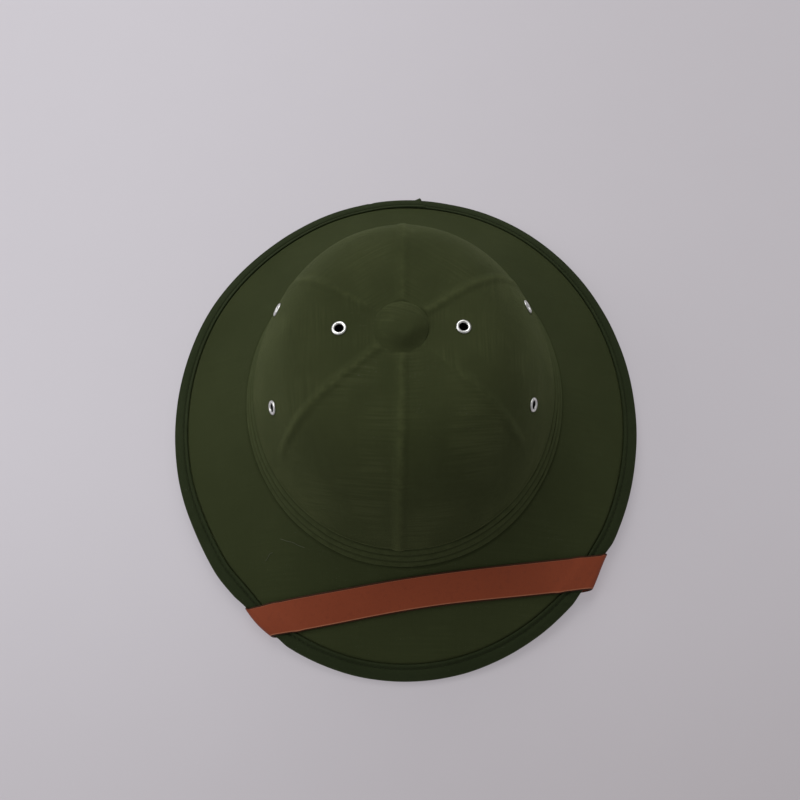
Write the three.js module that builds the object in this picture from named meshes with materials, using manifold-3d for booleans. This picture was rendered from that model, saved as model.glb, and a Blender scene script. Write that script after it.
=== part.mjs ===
// A cloth-covered sun helmet, lying crown up on its rim.
// Millimetres. The origin is on the surface under the middle of the rim, Z is up,
// the front of the hat faces -Y and its left side, seen from the front, is -X.

import * as THREE from 'three';
import { mergeVertices } from 'three/addons/utils/BufferGeometryUtils.js';
import Module from 'manifold-3d';

const manifoldLibrary = await Module();
manifoldLibrary.setup();

// Driving dimensions: clearance between separate pieces
const gap = 0.3;

// Driving dimensions: outline of the rim and the way that it rests
const rimWidth = 275;
const rimLength = 311;
const sideRise = 6.5;
const restHalfWidth = 30;

// Driving dimensions: foot of the crown, where it stands on the brim
const footWidth = 180;
const footLength = 202;
const footHeight = 37.8;

// Driving dimensions: brim board
const brimBoard = 2.8;
const brimEdgeBoard = 1.4;
const brimLedge = 7.5;
const brimFootSlope = 0.86;
const brimRimSlope = 0.45;

// Driving dimensions: binding of the rim
const bindingCloth = 1.0;
const bindingReach = 8.5;
const soleWidth = 2;

// Driving dimensions: pleated band round the foot of the crown. Each pleat stands
// fullest at pleatBelly of its height, and has sunk by pleatFall of its depth there.
const bandHeight = 14;
const bandInset = 6;
const bandCloth = 0.9;
const pleatDepth = 0.9;
const pleatCount = 3;
const pleatBelly = 0.55;
const pleatFall = 0.25;

// Driving dimensions: dome
const domeRise = 68.5;
const domeFullness = 4.6;
const crownWall = 2.6;
const ribWidth = 9;
const ribRise = 1.6;

// Driving dimensions: top button
const buttonDiameter = 28;
const buttonRise = 3.6;
const buttonEdge = 1.7;
const buttonFullness = 2.6;

// Driving dimensions: eyelets
const eyeletFlange = 8;
const eyeletHole = 4.4;
const eyeletMetal = 0.5;
const eyeletFlare = 6.8;
const eyeletEdge = 0.25;
const eyeletCrest = 0.8;
const eyeletMouth = 0.35;
const lowerEyeletSetback = 16.7;
const lowerEyeletSpacing = 57.2;
const topEyeletSetback = 17;

// Driving dimensions: chin strap and its hidden rivets
const strapWidth = 19;
const strapLeather = 1.6;
const strapBow = 1.5;
const strapLeftBearing = -122.8;
const strapRightBearing = -42.3;
const anchorLead = 30;
const rivetShank = 3.2;
const rivetHead = 7;
const rivetHeadRise = 1.2;
const rivetHeadFlat = 4.9;

// Fineness of the faceted surfaces
const ringSteps = 72;
const domeRows = 11;
const liningRows = 7;
const columnAngle = 9;
const eyeletSides = 12;

// The six seams of the crown: bearing in degrees from +X, how far the seam turns on
// its way from top to foot, and the share of that way at which its ridge begins to sink
const seams = [
  { bearing: -90.5, lean: -3, reach: 1.2 },
  { bearing: -40, lean: 6, reach: 0.84 },
  { bearing: 35, lean: 0, reach: 0.84 },
  { bearing: 89, lean: 2, reach: 1.2 },
  { bearing: 145, lean: 0, reach: 0.84 },
  { bearing: 219.5, lean: -6, reach: 0.84 },
];
const seamFade = 0.08;
const leanCentre = 0.6;

// Where the rim was trimmed inside its ellipse: bearing of the middle, half of the
// spread in degrees, and how far the rim stands in there
const rimTrims = [
  { bearing: 124, spread: 30, inset: 1.7 },
  { bearing: 214, spread: 18, inset: 0.9 },
];

// Sizes that follow from the driving dimensions
const rimA = rimWidth / 2;
const rimB = rimLength / 2;
const footA = footWidth / 2;
const footB = footLength / 2;
const domeA = footA - bandInset;
const domeB = footB - bandInset;
const domeMiddle = (domeA + domeB) / 2;
const domeFoot = footHeight + bandHeight + gap;
const buttonRadius = buttonDiameter / 2;
const bandSlant = Math.hypot(bandHeight, bandInset);
const bandLevel = bandHeight / bandSlant;
const bandLean = bandInset / bandSlant;
const bandDepth = bandCloth + pleatDepth;
const crownSeat = bandDepth + gap;
const crownLining = crownSeat + crownWall;
const leafInner = brimEdgeBoard / 2 + gap;
const leafOuter = leafInner + bindingCloth;
const boardInset = bindingCloth + gap;
const bindingTop = 2 * leafOuter + gap;
const rimMiddle = bindingTop - leafOuter;
const bindingProud = leafOuter - brimBoard / 2;
const bindingRound = bindingCloth / 3;

const green = { color: 0x3b4128, roughness: 0.92, metalness: 0 };
const clothGreen = (name) => new THREE.MeshStandardMaterial({ name, ...green });
const crownCloth = clothGreen('crown_cloth');
const brimCloth = clothGreen('brim_cloth');
const bindingMaterial = clothGreen('binding_cloth');
const eyeletMaterial = new THREE.MeshStandardMaterial(
  { name: 'eyelet_metal', color: 0xd6d6d0, roughness: 0.35, metalness: 1 });
const leather = new THREE.MeshStandardMaterial(
  { name: 'strap_leather', color: 0x703925, roughness: 0.62, metalness: 0 });

const helmet = new THREE.Group();

// Small helpers
const radians = THREE.MathUtils.degToRad;
const mix = THREE.MathUtils.lerp;
const smooth = THREE.MathUtils.smoothstep;

function place(geometry, material, name) {
  const mesh = new THREE.Mesh(geometry, material);
  mesh.name = name;
  helmet.add(mesh);
  return mesh;
}

function bodyFrom(positions, faces) {
  const geometry = new THREE.BufferGeometry();
  geometry.setAttribute('position', new THREE.Float32BufferAttribute(positions.flat(), 3));
  geometry.setIndex(faces.flat());
  return geometry;
}

function enclosedVolume(positions, faces) {
  const [a, b, c] = [new THREE.Vector3(), new THREE.Vector3(), new THREE.Vector3()];
  let sum = 0;
  for (const [i, j, k] of faces) {
    a.fromArray(positions[i]);
    b.fromArray(positions[j]);
    c.fromArray(positions[k]);
    sum += a.dot(b.cross(c)) / 6;
  }
  return sum;
}

// Joins a row of closed sections with quads. The row closes on itself, or its two
// ends are shut by fans from their first points.
function skin(sections, closed) {
  const positions = sections.flat();
  const size = sections[0].length;
  const faces = [];
  const last = closed ? sections.length : sections.length - 1;
  for (let i = 0; i < last; i += 1) {
    const here = i * size;
    const next = ((i + 1) % sections.length) * size;
    for (let j = 0; j < size; j += 1) {
      const k = (j + 1) % size;
      faces.push([here + j, next + j, next + k], [here + j, next + k, here + k]);
    }
  }
  if (!closed) {
    for (let j = 1; j < size - 1; j += 1) {
      const end = (sections.length - 1) * size;
      faces.push([0, j, j + 1], [end, end + j + 1, end + j]);
    }
  }
  if (enclosedVolume(positions, faces) < 0) {
    faces.forEach((face) => face.reverse());
  }
  return bodyFrom(positions, faces);
}

function ringOf(sectionAt) {
  const sections = [];
  for (let i = 0; i < ringSteps; i += 1) {
    sections.push(sectionAt((i / ringSteps) * 2 * Math.PI));
  }
  return skin(sections, true);
}

function solidOf(geometry) {
  const bare = geometry.clone();
  bare.deleteAttribute('normal');
  bare.deleteAttribute('uv');
  const merged = mergeVertices(bare, 1e-4);
  return new manifoldLibrary.Manifold(new manifoldLibrary.Mesh({
    numProp: 3,
    vertProperties: new Float32Array(merged.attributes.position.array),
    triVerts: new Uint32Array(merged.index.array),
  }));
}

function geometryOf(solid) {
  const mesh = solid.getMesh();
  const geometry = new THREE.BufferGeometry();
  geometry.setAttribute('position', new THREE.BufferAttribute(mesh.vertProperties, 3));
  geometry.setIndex(new THREE.BufferAttribute(mesh.triVerts, 1));
  return geometry;
}

// A bump that is 1 in its middle and 0 from a share of 1 outwards
const bump = (share) => 0.5 + 0.5 * Math.cos(Math.PI * Math.min(1, Math.abs(share)));

// The turn of the ellipse that lies in a given bearing, seen from above
const turnAt = (bearing, a, b) => Math.atan2(Math.sin(bearing) / b, Math.cos(bearing) / a);

// How far the rim stands inside its ellipse at turn t
function rimTrim(t) {
  const bearing = Math.atan2(rimB * Math.sin(t), rimA * Math.cos(t)) * THREE.MathUtils.RAD2DEG;
  return rimTrims.reduce((sum, trim) => {
    const away = THREE.MathUtils.euclideanModulo(bearing - trim.bearing + 180, 360) - 180;
    return sum + trim.inset * bump(away / trim.spread);
  }, 0);
}

// Ellipses round the hat: a point `out` outside the foot or the rim, at turn t
const onFoot = (t, out, z) => [(footA + out) * Math.cos(t), (footB + out) * Math.sin(t), z];
function onRim(t, out, z) {
  const reach = out - rimTrim(t);
  return [(rimA + reach) * Math.cos(t), (rimB + reach) * Math.sin(t), z];
}

// Height of the rim's sole above the surface: it rests in front and behind, and
// rises towards the sides
function soleHeight(t) {
  const start = restHalfWidth / rimA;
  const share = (Math.abs(Math.cos(t)) - start) / (1 - start);
  return sideRise * Math.max(0, share);
}

// Half axes of the ellipse at a share of the brim: 0 at the foot of the crown, 1 at the
// edge of the board
function brimAxes(t, share) {
  const inset = boardInset + rimTrim(t);
  return [mix(footA, rimA - inset, share), mix(footB, rimB - inset, share)];
}

// Middle of the brim board at a share of the brim
function brimMiddle(t, share) {
  const [a, b] = brimAxes(t, share);
  const [boardA, boardB] = brimAxes(t, 1);
  const x = a * Math.cos(t);
  const y = b * Math.sin(t);
  const run = Math.hypot((boardA - footA) * Math.cos(t), (boardB - footB) * Math.sin(t));
  const high = footHeight - gap - brimBoard / 2;
  const low = soleHeight(t) + rimMiddle;
  const q = 1 - share;
  const z = high * q * q * (1 + 2 * share) + low * share * share * (3 - 2 * share)
    - brimFootSlope * run * share * q * q + brimRimSlope * run * share * share * q;
  return [x, y, z];
}

// The share of the brim under a point seen from above, and its turn
function brimPlace(x, y) {
  let low = 0;
  let high = 1.2;
  let t = Math.atan2(y, x);
  for (let i = 0; i < 30; i += 1) {
    const share = (low + high) / 2;
    const [a, b] = brimAxes(t, share);
    if (Math.hypot(x / a, y / b) > 1) {
      low = share;
    } else {
      high = share;
    }
    t = Math.atan2(y / b, x / a);
  }
  return { share: low, t };
}

// Share of the brim at which the binding begins
const bindingShare = (t) => {
  const [a, b] = brimAxes(t, 1);
  const run = boardInset + Math.hypot((a - footA) * Math.cos(t), (b - footB) * Math.sin(t));
  return 1 - (bindingReach - boardInset) / run;
};

const raised = ([x, y, z], by) => [x, y, z + by];

// Brim: a board ring with a ledge inside the crown, thinned where the binding wraps it
const brimShares = [0.2, 0.42, 0.66];
function brimSection(t) {
  const half = brimBoard / 2;
  const thin = brimEdgeBoard / 2;
  const start = bindingShare(t) - gap / (rimA - footA);
  const shares = [0, ...brimShares, start];
  const face = shares.map((share) => raised(brimMiddle(t, share), half));
  const under = shares.map((share) => raised(brimMiddle(t, share), -half));
  const ledge = onFoot(t, -brimLedge, footHeight - gap);
  return [
    ledge,
    ...face,
    raised(brimMiddle(t, start), thin),
    raised(brimMiddle(t, 1), thin),
    raised(brimMiddle(t, 1), -thin),
    raised(brimMiddle(t, start), -thin),
    ...under.reverse(),
    raised(ledge, -brimBoard),
  ];
}

// Binding: cloth folded round the edge of the board, with a flat sole to rest on
function bindingSection(t) {
  const far = brimMiddle(t, bindingShare(t));
  const edge = brimMiddle(t, 1);
  const floor = soleHeight(t);
  const nose = rimMiddle + floor;
  return [
    raised(far, leafOuter),
    raised(edge, leafOuter),
    onRim(t, -bindingRound, nose + leafInner),
    onRim(t, 0, nose),
    onRim(t, -bindingRound, nose - leafInner),
    onRim(t, -bindingCloth, floor),
    onRim(t, -bindingCloth - soleWidth, floor),
    raised(far, -leafOuter),
    raised(far, -leafInner),
    onRim(t, -bindingCloth, nose - leafInner),
    onRim(t, -bindingCloth, nose + leafInner),
    raised(far, leafInner),
  ];
}

// Face of the band: up runs from 0 at its foot to 1 at its top, and depth goes
// square into the cloth
const bandOut = (up, depth) => -bandInset * up - depth * bandLevel;
const bandZ = (up, depth) => footHeight + bandHeight * up - depth * bandLean;
const bandPoint = (t, up, depth) => onFoot(t, bandOut(up, depth), bandZ(up, depth));

// How far up the slant a layer at this depth meets the level of the foot
const levelUp = (depth) => (depth * bandLean) / bandHeight;

function bandSection(t) {
  const points = [];
  for (let i = 0; i < pleatCount; i += 1) {
    points.push(bandPoint(t, i / pleatCount, 0));
    points.push(bandPoint(t, (i + pleatBelly) / pleatCount, pleatFall * pleatDepth));
    points.push(bandPoint(t, (i + 1) / pleatCount, pleatDepth));
  }
  points.push(bandPoint(t, 1, bandDepth));
  points.push(bandPoint(t, levelUp(bandDepth), bandDepth));
  return points;
}

// Dome: a rounded cap over an ellipse. reach is 0 at the top and 1 at the foot.
function domePoint(reach, bearing, inset, drop) {
  const a = domeA - inset;
  const b = domeB - inset;
  const radius = reach / Math.hypot(Math.cos(bearing) / a, Math.sin(bearing) / b);
  const z = domeFoot + (domeRise - drop) * (1 - reach ** domeFullness);
  return new THREE.Vector3(radius * Math.cos(bearing), radius * Math.sin(bearing), z);
}

function domeNormal(point) {
  const reach = Math.hypot(point.x / domeA, point.y / domeB);
  const fall = domeRise * domeFullness * reach ** (domeFullness - 2);
  return new THREE.Vector3(
    (fall * point.x) / domeA ** 2, (fall * point.y) / domeB ** 2, 1).normalize();
}

const domeAt = (x, y) => domePoint(Math.hypot(x / domeA, y / domeB), Math.atan2(y, x), 0, 0);

// Shares of the way down the dome below a starting one, evenly spaced along its surface
function evenReaches(rows, start) {
  const fine = 400;
  const reachAt = (i) => mix(start, 1, i / fine);
  const lengths = [0];
  for (let i = 1; i <= fine; i += 1) {
    const before = domePoint(reachAt(i - 1), 0, 0, 0);
    lengths.push(lengths[i - 1] + before.distanceTo(domePoint(reachAt(i), 0, 0, 0)));
  }
  const reaches = [];
  for (let row = 1; row <= rows; row += 1) {
    const wanted = (lengths[fine] * row) / rows;
    reaches.push(reachAt(lengths.findIndex((length) => length >= wanted - 1e-6)));
  }
  return reaches;
}

// Rise of a seam's ridge at a distance to its side
const ridge = (side) => ribRise * bump(side / (ribWidth / 2));

// A seam butts against the edge of the button, and sinks into the cloth near the foot
const seamStrength = (seam, reach) => 1 - smooth(reach, seam.reach, seam.reach + seamFade);

// Columns of the crown's mesh: five along each seam, the others spread between seams
const seamSides = [-0.5, -0.25, 0, 0.25, 0.5];
const widestSeamAngle = radians(17);
function crownColumns() {
  const columns = [];
  seams.forEach((seam, index) => {
    const following = seams[(index + 1) % seams.length];
    const wrap = following.bearing < seam.bearing ? 360 : 0;
    const span = following.bearing + wrap - seam.bearing;
    seamSides.forEach((side) => columns.push({ seam, side }));
    const between = Math.round(span / columnAngle) - 1;
    for (let i = 1; i < between; i += 1) {
      columns.push({ seam, following, wrap, share: i / between });
    }
  });
  return columns;
}

const seamAngle = (side, radius) =>
  Math.sign(side) * Math.min(widestSeamAngle * 2 * Math.abs(side),
    Math.asin(Math.min(1, Math.abs(side * ribWidth) / radius)));

const seamBearing = (seam, radius) =>
  radians(seam.bearing + seam.lean * (radius / domeMiddle - leanCentre));

function columnBearing(column, radius) {
  const start = seamBearing(column.seam, radius);
  if (column.following === undefined) {
    return start + seamAngle(column.side, radius);
  }
  const edge = seamAngle(0.5, radius);
  const end = seamBearing(column.following, radius) + radians(column.wrap);
  return mix(start + edge, end - edge, column.share);
}

function raisedToRidge(point, column, strength) {
  if (column.following === undefined) {
    point.addScaledVector(domeNormal(point), ridge(column.side * ribWidth) * strength);
    point.z = Math.max(point.z, domeFoot);
  }
  return point.toArray();
}

function crownSurfacePoint(column, reach) {
  const point = domePoint(reach, columnBearing(column, reach * domeMiddle), 0, 0);
  return raisedToRidge(point, column, seamStrength(column.seam, reach));
}

// A point of the crown on a circle round the button
function buttonRingPoint(column, radius, strength) {
  const bearing = columnBearing(column, radius);
  const point = domeAt(radius * Math.cos(bearing), radius * Math.sin(bearing));
  return raisedToRidge(point, column, strength);
}

function crownShellGeometry() {
  const columns = crownColumns();
  const foundation = columns.map((column) => buttonRingPoint(column, buttonRadius + gap, 0));
  const butting = columns.map((column) => buttonRingPoint(column, buttonRadius + 2 * gap, 1));
  const open = evenReaches(domeRows, (buttonRadius + 2 * gap) / domeA).map(
    (reach) => columns.map((column) => crownSurfacePoint(column, reach)));
  const rows = [foundation, butting, ...open];
  const turns = columns.map((column) => turnAt(columnBearing(column, domeA), footA, footB));
  const skirt = [
    [1 + gap / bandHeight, crownSeat],
    [levelUp(crownSeat), crownSeat],
    [levelUp(crownLining), crownLining],
    [1 + gap / bandHeight, crownLining],
  ];
  skirt.forEach(([up, depth]) => rows.push(turns.map((t) => bandPoint(t, up, depth))));
  const liningInset = crownLining * bandLevel;
  evenReaches(liningRows, 0).slice(0, -1).reverse().forEach((reach) => {
    rows.push(columns.map((column) => domePoint(
      reach, columnBearing(column, reach * domeA), liningInset, crownWall).toArray()));
  });
  const top = domePoint(0, 0, 0, 0).toArray();
  const ceiling = domePoint(0, 0, liningInset, crownWall).toArray();
  const positions = [top, ...rows.flat(), ceiling];
  const size = columns.length;
  const faces = [];
  const at = (row, column) => 1 + row * size + (column % size);
  for (let column = 0; column < size; column += 1) {
    faces.push([0, at(0, column), at(0, column + 1)]);
    faces.push([positions.length - 1, at(rows.length - 1, column + 1), at(rows.length - 1, column)]);
    for (let row = 0; row < rows.length - 1; row += 1) {
      faces.push([at(row, column), at(row + 1, column), at(row + 1, column + 1)]);
      faces.push([at(row, column), at(row + 1, column + 1), at(row, column + 1)]);
    }
  }
  return bodyFrom(positions, faces);
}

// Top button: a low cap whose underside follows the dome
const buttonSides = 24;
const buttonCapShares = [0.35, 0.65, 0.88, 1];
const buttonUnderShares = [1, 0.5];
function topButtonGeometry() {
  const sides = buttonSides;
  const under = (x, y) => domeAt(x, y).z + gap;
  const cap = (x, y) => {
    const share = Math.min(1, Math.hypot(x, y) / buttonRadius);
    return under(x, y) + mix(buttonRise, buttonEdge, share ** buttonFullness);
  };
  const circle = (share, height) => Array.from({ length: sides }, (_, i) => {
    const turn = (i / sides) * 2 * Math.PI;
    const x = buttonRadius * share * Math.cos(turn);
    const y = buttonRadius * share * Math.sin(turn);
    return [x, y, height(x, y)];
  });
  const rows = [
    ...buttonCapShares.map((share) => circle(share, cap)),
    ...buttonUnderShares.map((share) => circle(share, under)),
  ];
  const positions = [[0, 0, cap(0, 0)], ...rows.flat(), [0, 0, under(0, 0)]];
  const at = (row, side) => 1 + row * sides + (side % sides);
  const faces = [];
  for (let side = 0; side < sides; side += 1) {
    faces.push([0, at(0, side), at(0, side + 1)]);
    faces.push([positions.length - 1, at(rows.length - 1, side + 1), at(rows.length - 1, side)]);
    for (let row = 0; row < rows.length - 1; row += 1) {
      faces.push([at(row, side), at(row + 1, side), at(row + 1, side + 1)]);
      faces.push([at(row, side), at(row + 1, side + 1), at(row, side + 1)]);
    }
  }
  return bodyFrom(positions, faces);
}

// Eyelets: a flange on the cloth, a barrel through the wall and a flare inside
const lowerEyeletX = domeA - lowerEyeletSetback;
const lowerEyeletY = lowerEyeletSpacing / 2;
const topEyeletX = buttonRadius + topEyeletSetback;
const eyelets = [
  { name: 'eyelet_left_front', x: -lowerEyeletX, y: -lowerEyeletY },
  { name: 'eyelet_left_rear', x: -lowerEyeletX, y: lowerEyeletY },
  { name: 'eyelet_left_top', x: -topEyeletX, y: 0 },
  { name: 'eyelet_right_front', x: lowerEyeletX, y: -lowerEyeletY },
  { name: 'eyelet_right_rear', x: lowerEyeletX, y: lowerEyeletY },
  { name: 'eyelet_right_top', x: topEyeletX, y: 0 },
];
const barrel = eyeletHole / 2 + eyeletMetal;

function eyeletSeat(eyelet) {
  const point = domeAt(eyelet.x, eyelet.y);
  const normal = domeNormal(point);
  const turn = new THREE.Quaternion().setFromUnitVectors(new THREE.Vector3(0, 1, 0), normal);
  return { point, normal, turn };
}

// Thickness of the wall along the eyelet's own axis
function wallAlong(seat) {
  const inside = (depth) => {
    const p = seat.point.clone().addScaledVector(seat.normal, -depth);
    const inset = crownLining * bandLevel;
    const reach = Math.hypot(p.x / (domeA - inset), p.y / (domeB - inset));
    return p.z < domeFoot + (domeRise - crownWall) * (1 - reach ** domeFullness);
  };
  const step = 0.05;
  let depth = step;
  while (!inside(depth)) {
    depth += step;
  }
  return depth;
}

function eyeletGeometry(wall) {
  const clearInside = 2 * gap;
  const outer = eyeletFlange / 2;
  const flare = eyeletFlare / 2;
  const bottom = -wall - clearInside - eyeletMetal;
  const profile = [
    [eyeletHole / 2, bottom],
    [flare, bottom],
    [flare, bottom + eyeletMetal],
    [barrel, bottom + eyeletMetal],
    [barrel, gap],
    [outer, gap],
    [outer, gap + eyeletEdge],
    [(outer + eyeletHole / 2) / 2, gap + eyeletCrest],
    [eyeletHole / 2, gap + eyeletMouth],
    [eyeletHole / 2, bottom],
  ];
  return new THREE.LatheGeometry(profile.map(([r, y]) => new THREE.Vector2(r, y)), eyeletSides);
}

// Chin strap, over the front of the brim. Lines across the strap carry three points,
// from its front edge to its rear edge.
const acrossShares = [-1, 0, 1];
const strapClear = 1.6 * gap;
const foldInset = boardInset;
const foldMiddle = bindingTop / 2;
const foldHalf = bindingTop / 2 + gap;
const foldReach = foldInset + gap + strapLeather / 2;

// How far the binding stands proud of the board, in the strap's reckoning: the strap
// begins to climb a little before it
const climbShare = 0.1;
function proudAt(t, share) {
  const start = bindingShare(t);
  return bindingProud * smooth(share, start - climbShare, start);
}

// Top of the brim and its binding at a place seen from above
function strapRest(x, y) {
  const { share, t } = brimPlace(x, y);
  const top = brimMiddle(t, Math.min(share, 1))[2] + brimBoard / 2;
  return top + proudAt(t, share) + strapClear;
}

// Where a straight line in plan leaves the ellipse on which the fold begins
function crossFoldLine(start, direction) {
  const a = rimA - foldInset;
  const b = rimB - foldInset;
  const p = direction.x ** 2 / a ** 2 + direction.y ** 2 / b ** 2;
  const q = (2 * start.x * direction.x) / a ** 2 + (2 * start.y * direction.y) / b ** 2;
  const r = start.x ** 2 / a ** 2 + start.y ** 2 / b ** 2 - 1;
  const way = (-q + Math.sqrt(q * q - 4 * p * r)) / (2 * p);
  return start.clone().addScaledVector(direction, way);
}

function strapEnd(bearing) {
  const t = turnAt(radians(bearing), rimA, rimB);
  return new THREE.Vector2(...onRim(t, -foldInset, 0));
}

const strapLeft = strapEnd(strapLeftBearing);
const strapRight = strapEnd(strapRightBearing);
const strapAlong = strapRight.clone().sub(strapLeft).normalize();
const strapAcross = new THREE.Vector2(-strapAlong.y, strapAlong.x);

// Half of the width seen from above, on the slope of the brim at that place
function planHalfWidth(middle) {
  const step = 1;
  const ahead = middle.clone().addScaledVector(strapAcross, step);
  const behind = middle.clone().addScaledVector(strapAcross, -step);
  const slope = (strapRest(ahead.x, ahead.y) - strapRest(behind.x, behind.y)) / (2 * step);
  return strapWidth / 2 / Math.hypot(1, slope);
}

const strapCentre = strapLeft.clone().add(strapRight).multiplyScalar(0.5);
const planHalf = planHalfWidth(strapCentre);

// The two ends of each line along the strap, where it reaches the folds
const foldPlaces = acrossShares.map((share) => {
  const middle = strapCentre.clone().addScaledVector(strapAcross, share * planHalf);
  const right = crossFoldLine(middle, strapAlong);
  const left = crossFoldLine(middle, strapAlong.clone().negate());
  return { left, right };
});

const turnOf = (place) => Math.atan2(place.y / (rimB - foldInset), place.x / (rimA - foldInset));

// A strap line is a list of [inner point, outer point], one pair for each share across
const topSteps = 22;
function topLines() {
  const lines = [];
  for (let i = 1; i < topSteps; i += 1) {
    const way = i / topSteps;
    lines.push(foldPlaces.map(({ left, right }) => {
      const bow = strapBow * 4 * way * (1 - way);
      const x = mix(left.x, right.x, way) - strapAcross.x * bow;
      const y = mix(left.y, right.y, way) - strapAcross.y * bow;
      const z = strapRest(x, y);
      return [[x, y, z], [x, y, z + strapLeather]];
    }));
  }
  return lines;
}

// Half a turn round the rim, from above to below
const foldSteps = 6;
function foldLines(side) {
  const lines = [];
  for (let i = 0; i <= foldSteps; i += 1) {
    const angle = Math.PI / 2 - (i / foldSteps) * Math.PI;
    lines.push(foldPlaces.map((places) => {
      const t = turnOf(places[side]);
      const middle = soleHeight(t) + foldMiddle;
      const at = (extra) => onRim(t, -foldInset + (foldReach + extra) * Math.cos(angle),
        middle + (foldHalf + extra) * Math.sin(angle));
      return [at(0), at(strapLeather)];
    }));
  }
  return lines;
}

// Under the brim, round the edge of the ledge and up the inside of the crown
const underShares = [0.16, 0.34, 0.55, 0.76, 0.92];
const tabLow = [-brimLedge - gap, footHeight];
const tabHigh = [bandOut(1, crownLining + gap), bandZ(1, crownLining + gap)];
const tabWay = new THREE.Vector2(tabHigh[0] - tabLow[0], tabHigh[1] - tabLow[1]).normalize();
const anchorUp = 0.55;

function anchorTurn(side) {
  const bearing = side === 'right' ? -anchorLead : anchorLead - 180;
  return turnAt(radians(bearing), footA, footB);
}

function underLines(side) {
  const middle = anchorTurn(side);
  const inward = side === 'right' ? 1 : -1;
  const ledgeUnder = footHeight - gap - brimBoard - gap;
  const spread = strapWidth / 2 / Math.hypot(
    (footA - brimLedge) * Math.sin(middle), (footB - brimLedge) * Math.cos(middle));
  const ends = acrossShares.map((share) => middle + share * spread * inward);
  const starts = foldPlaces.map((places) => {
    const t = turnOf(places[side]);
    return onRim(t, -bindingCloth - soleWidth - gap, soleHeight(t) - gap);
  });
  const lines = [starts.map((point) => [point, raised(point, -strapLeather)])];
  lines.push(...underShares.map((way) => acrossShares.map((_, index) => {
    const [startX, startY] = starts[index];
    const [endX, endY] = onFoot(ends[index], -brimLedge / 2, 0);
    const x = mix(startX, endX, way);
    const y = mix(startY, endY, way);
    const { share, t } = brimPlace(x, y);
    const z = share > 0
      ? brimMiddle(t, share)[2] - brimBoard / 2 - proudAt(t, share) - strapClear
      : ledgeUnder;
    return [[x, y, z], [x, y, z - strapLeather]];
  })));
  const bend = [
    [-brimLedge + gap, ledgeUnder, -brimLedge + gap - strapLeather / 2, ledgeUnder - strapLeather],
    [-brimLedge - gap, ledgeUnder + gap, -brimLedge - gap - strapLeather, ledgeUnder - gap],
  ];
  bend.forEach(([out, z, outerOut, outerZ]) => {
    lines.push(ends.map((t) => [onFoot(t, out, z), onFoot(t, outerOut, outerZ)]));
  });
  [0, 0.5, 1].forEach((way) => {
    const out = mix(tabLow[0], tabHigh[0], way);
    const z = mix(tabLow[1], tabHigh[1], way);
    lines.push(ends.map((t) => [
      onFoot(t, out, z),
      onFoot(t, out - strapLeather * tabWay.y, z + strapLeather * tabWay.x),
    ]));
  });
  return lines;
}

function strapGeometry() {
  const lines = [
    ...underLines('left').reverse(),
    ...foldLines('left').reverse(),
    ...topLines(),
    ...foldLines('right'),
    ...underLines('right'),
  ];
  const sections = lines.map((line) => [
    ...line.map(([inner]) => inner),
    ...line.map(([, outer]) => outer).reverse(),
  ]);
  return skin(sections, false);
}

// Rivets: a head inside the strap's tab and a shank into the wall of the crown
function rivetSeat(side) {
  const t = anchorTurn(side);
  const out = mix(tabLow[0], tabHigh[0], anchorUp);
  const z = mix(tabLow[1], tabHigh[1], anchorUp);
  const point = new THREE.Vector3(...onFoot(t, out, z));
  const level = new THREE.Vector3(Math.cos(t) / (footA + out), Math.sin(t) / (footB + out), 0);
  level.normalize().multiplyScalar(tabWay.y);
  const axis = level.setZ(-tabWay.x).normalize();
  const turn = new THREE.Quaternion().setFromUnitVectors(new THREE.Vector3(0, 1, 0), axis);
  return { point, axis, turn };
}

const rivetInto = crownWall;
const headSeat = -strapLeather - gap;
function rivetGeometry() {
  const shank = rivetShank / 2;
  const head = rivetHead / 2;
  const profile = [
    [0, headSeat - rivetHeadRise],
    [rivetHeadFlat / 2, headSeat - rivetHeadRise],
    [head, headSeat - rivetHeadRise / 2],
    [head, headSeat],
    [shank, headSeat],
    [shank, rivetInto],
    [0, rivetInto],
  ];
  return new THREE.LatheGeometry(profile.map(([r, y]) => new THREE.Vector2(r, y)), eyeletSides);
}

function drill(seat, radius, length) {
  const cutter = new THREE.CylinderGeometry(radius, radius, length, eyeletSides);
  cutter.applyQuaternion(seat.turn);
  cutter.translate(...seat.point.toArray());
  return solidOf(cutter);
}

const eyeletSeats = eyelets.map(eyeletSeat);
const rivetSeats = { left: rivetSeat('left'), right: rivetSeat('right') };
const throughWall = 6 * crownWall;

let crown = solidOf(crownShellGeometry());
eyeletSeats.forEach((seat) => {
  crown = crown.subtract(drill(seat, barrel + gap, throughWall));
});
let strap = solidOf(strapGeometry());
Object.values(rivetSeats).forEach((seat) => {
  crown = crown.subtract(drill(seat, rivetShank / 2 + gap, 2 * (rivetInto + gap)));
  strap = strap.subtract(drill(seat, rivetShank / 2 + gap, 4 * strapLeather));
});

place(geometryOf(crown), crownCloth, 'crown_shell');
place(topButtonGeometry(), crownCloth, 'top_button');
place(ringOf(bandSection), bindingMaterial, 'crown_band');
place(ringOf(brimSection), brimCloth, 'brim');
place(ringOf(bindingSection), bindingMaterial, 'rim_binding');

eyelets.forEach((eyelet, index) => {
  const seat = eyeletSeats[index];
  const mesh = place(eyeletGeometry(wallAlong(seat)), eyeletMaterial, eyelet.name);
  mesh.quaternion.copy(seat.turn);
  mesh.position.copy(seat.point);
});

place(geometryOf(strap), leather, 'chin_strap');
Object.entries(rivetSeats).forEach(([side, seat]) => {
  const mesh = place(rivetGeometry(), eyeletMaterial, `strap_rivet_${side}`);
  mesh.quaternion.copy(seat.turn);
  mesh.position.copy(seat.point);
});

export default helmet;
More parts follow.
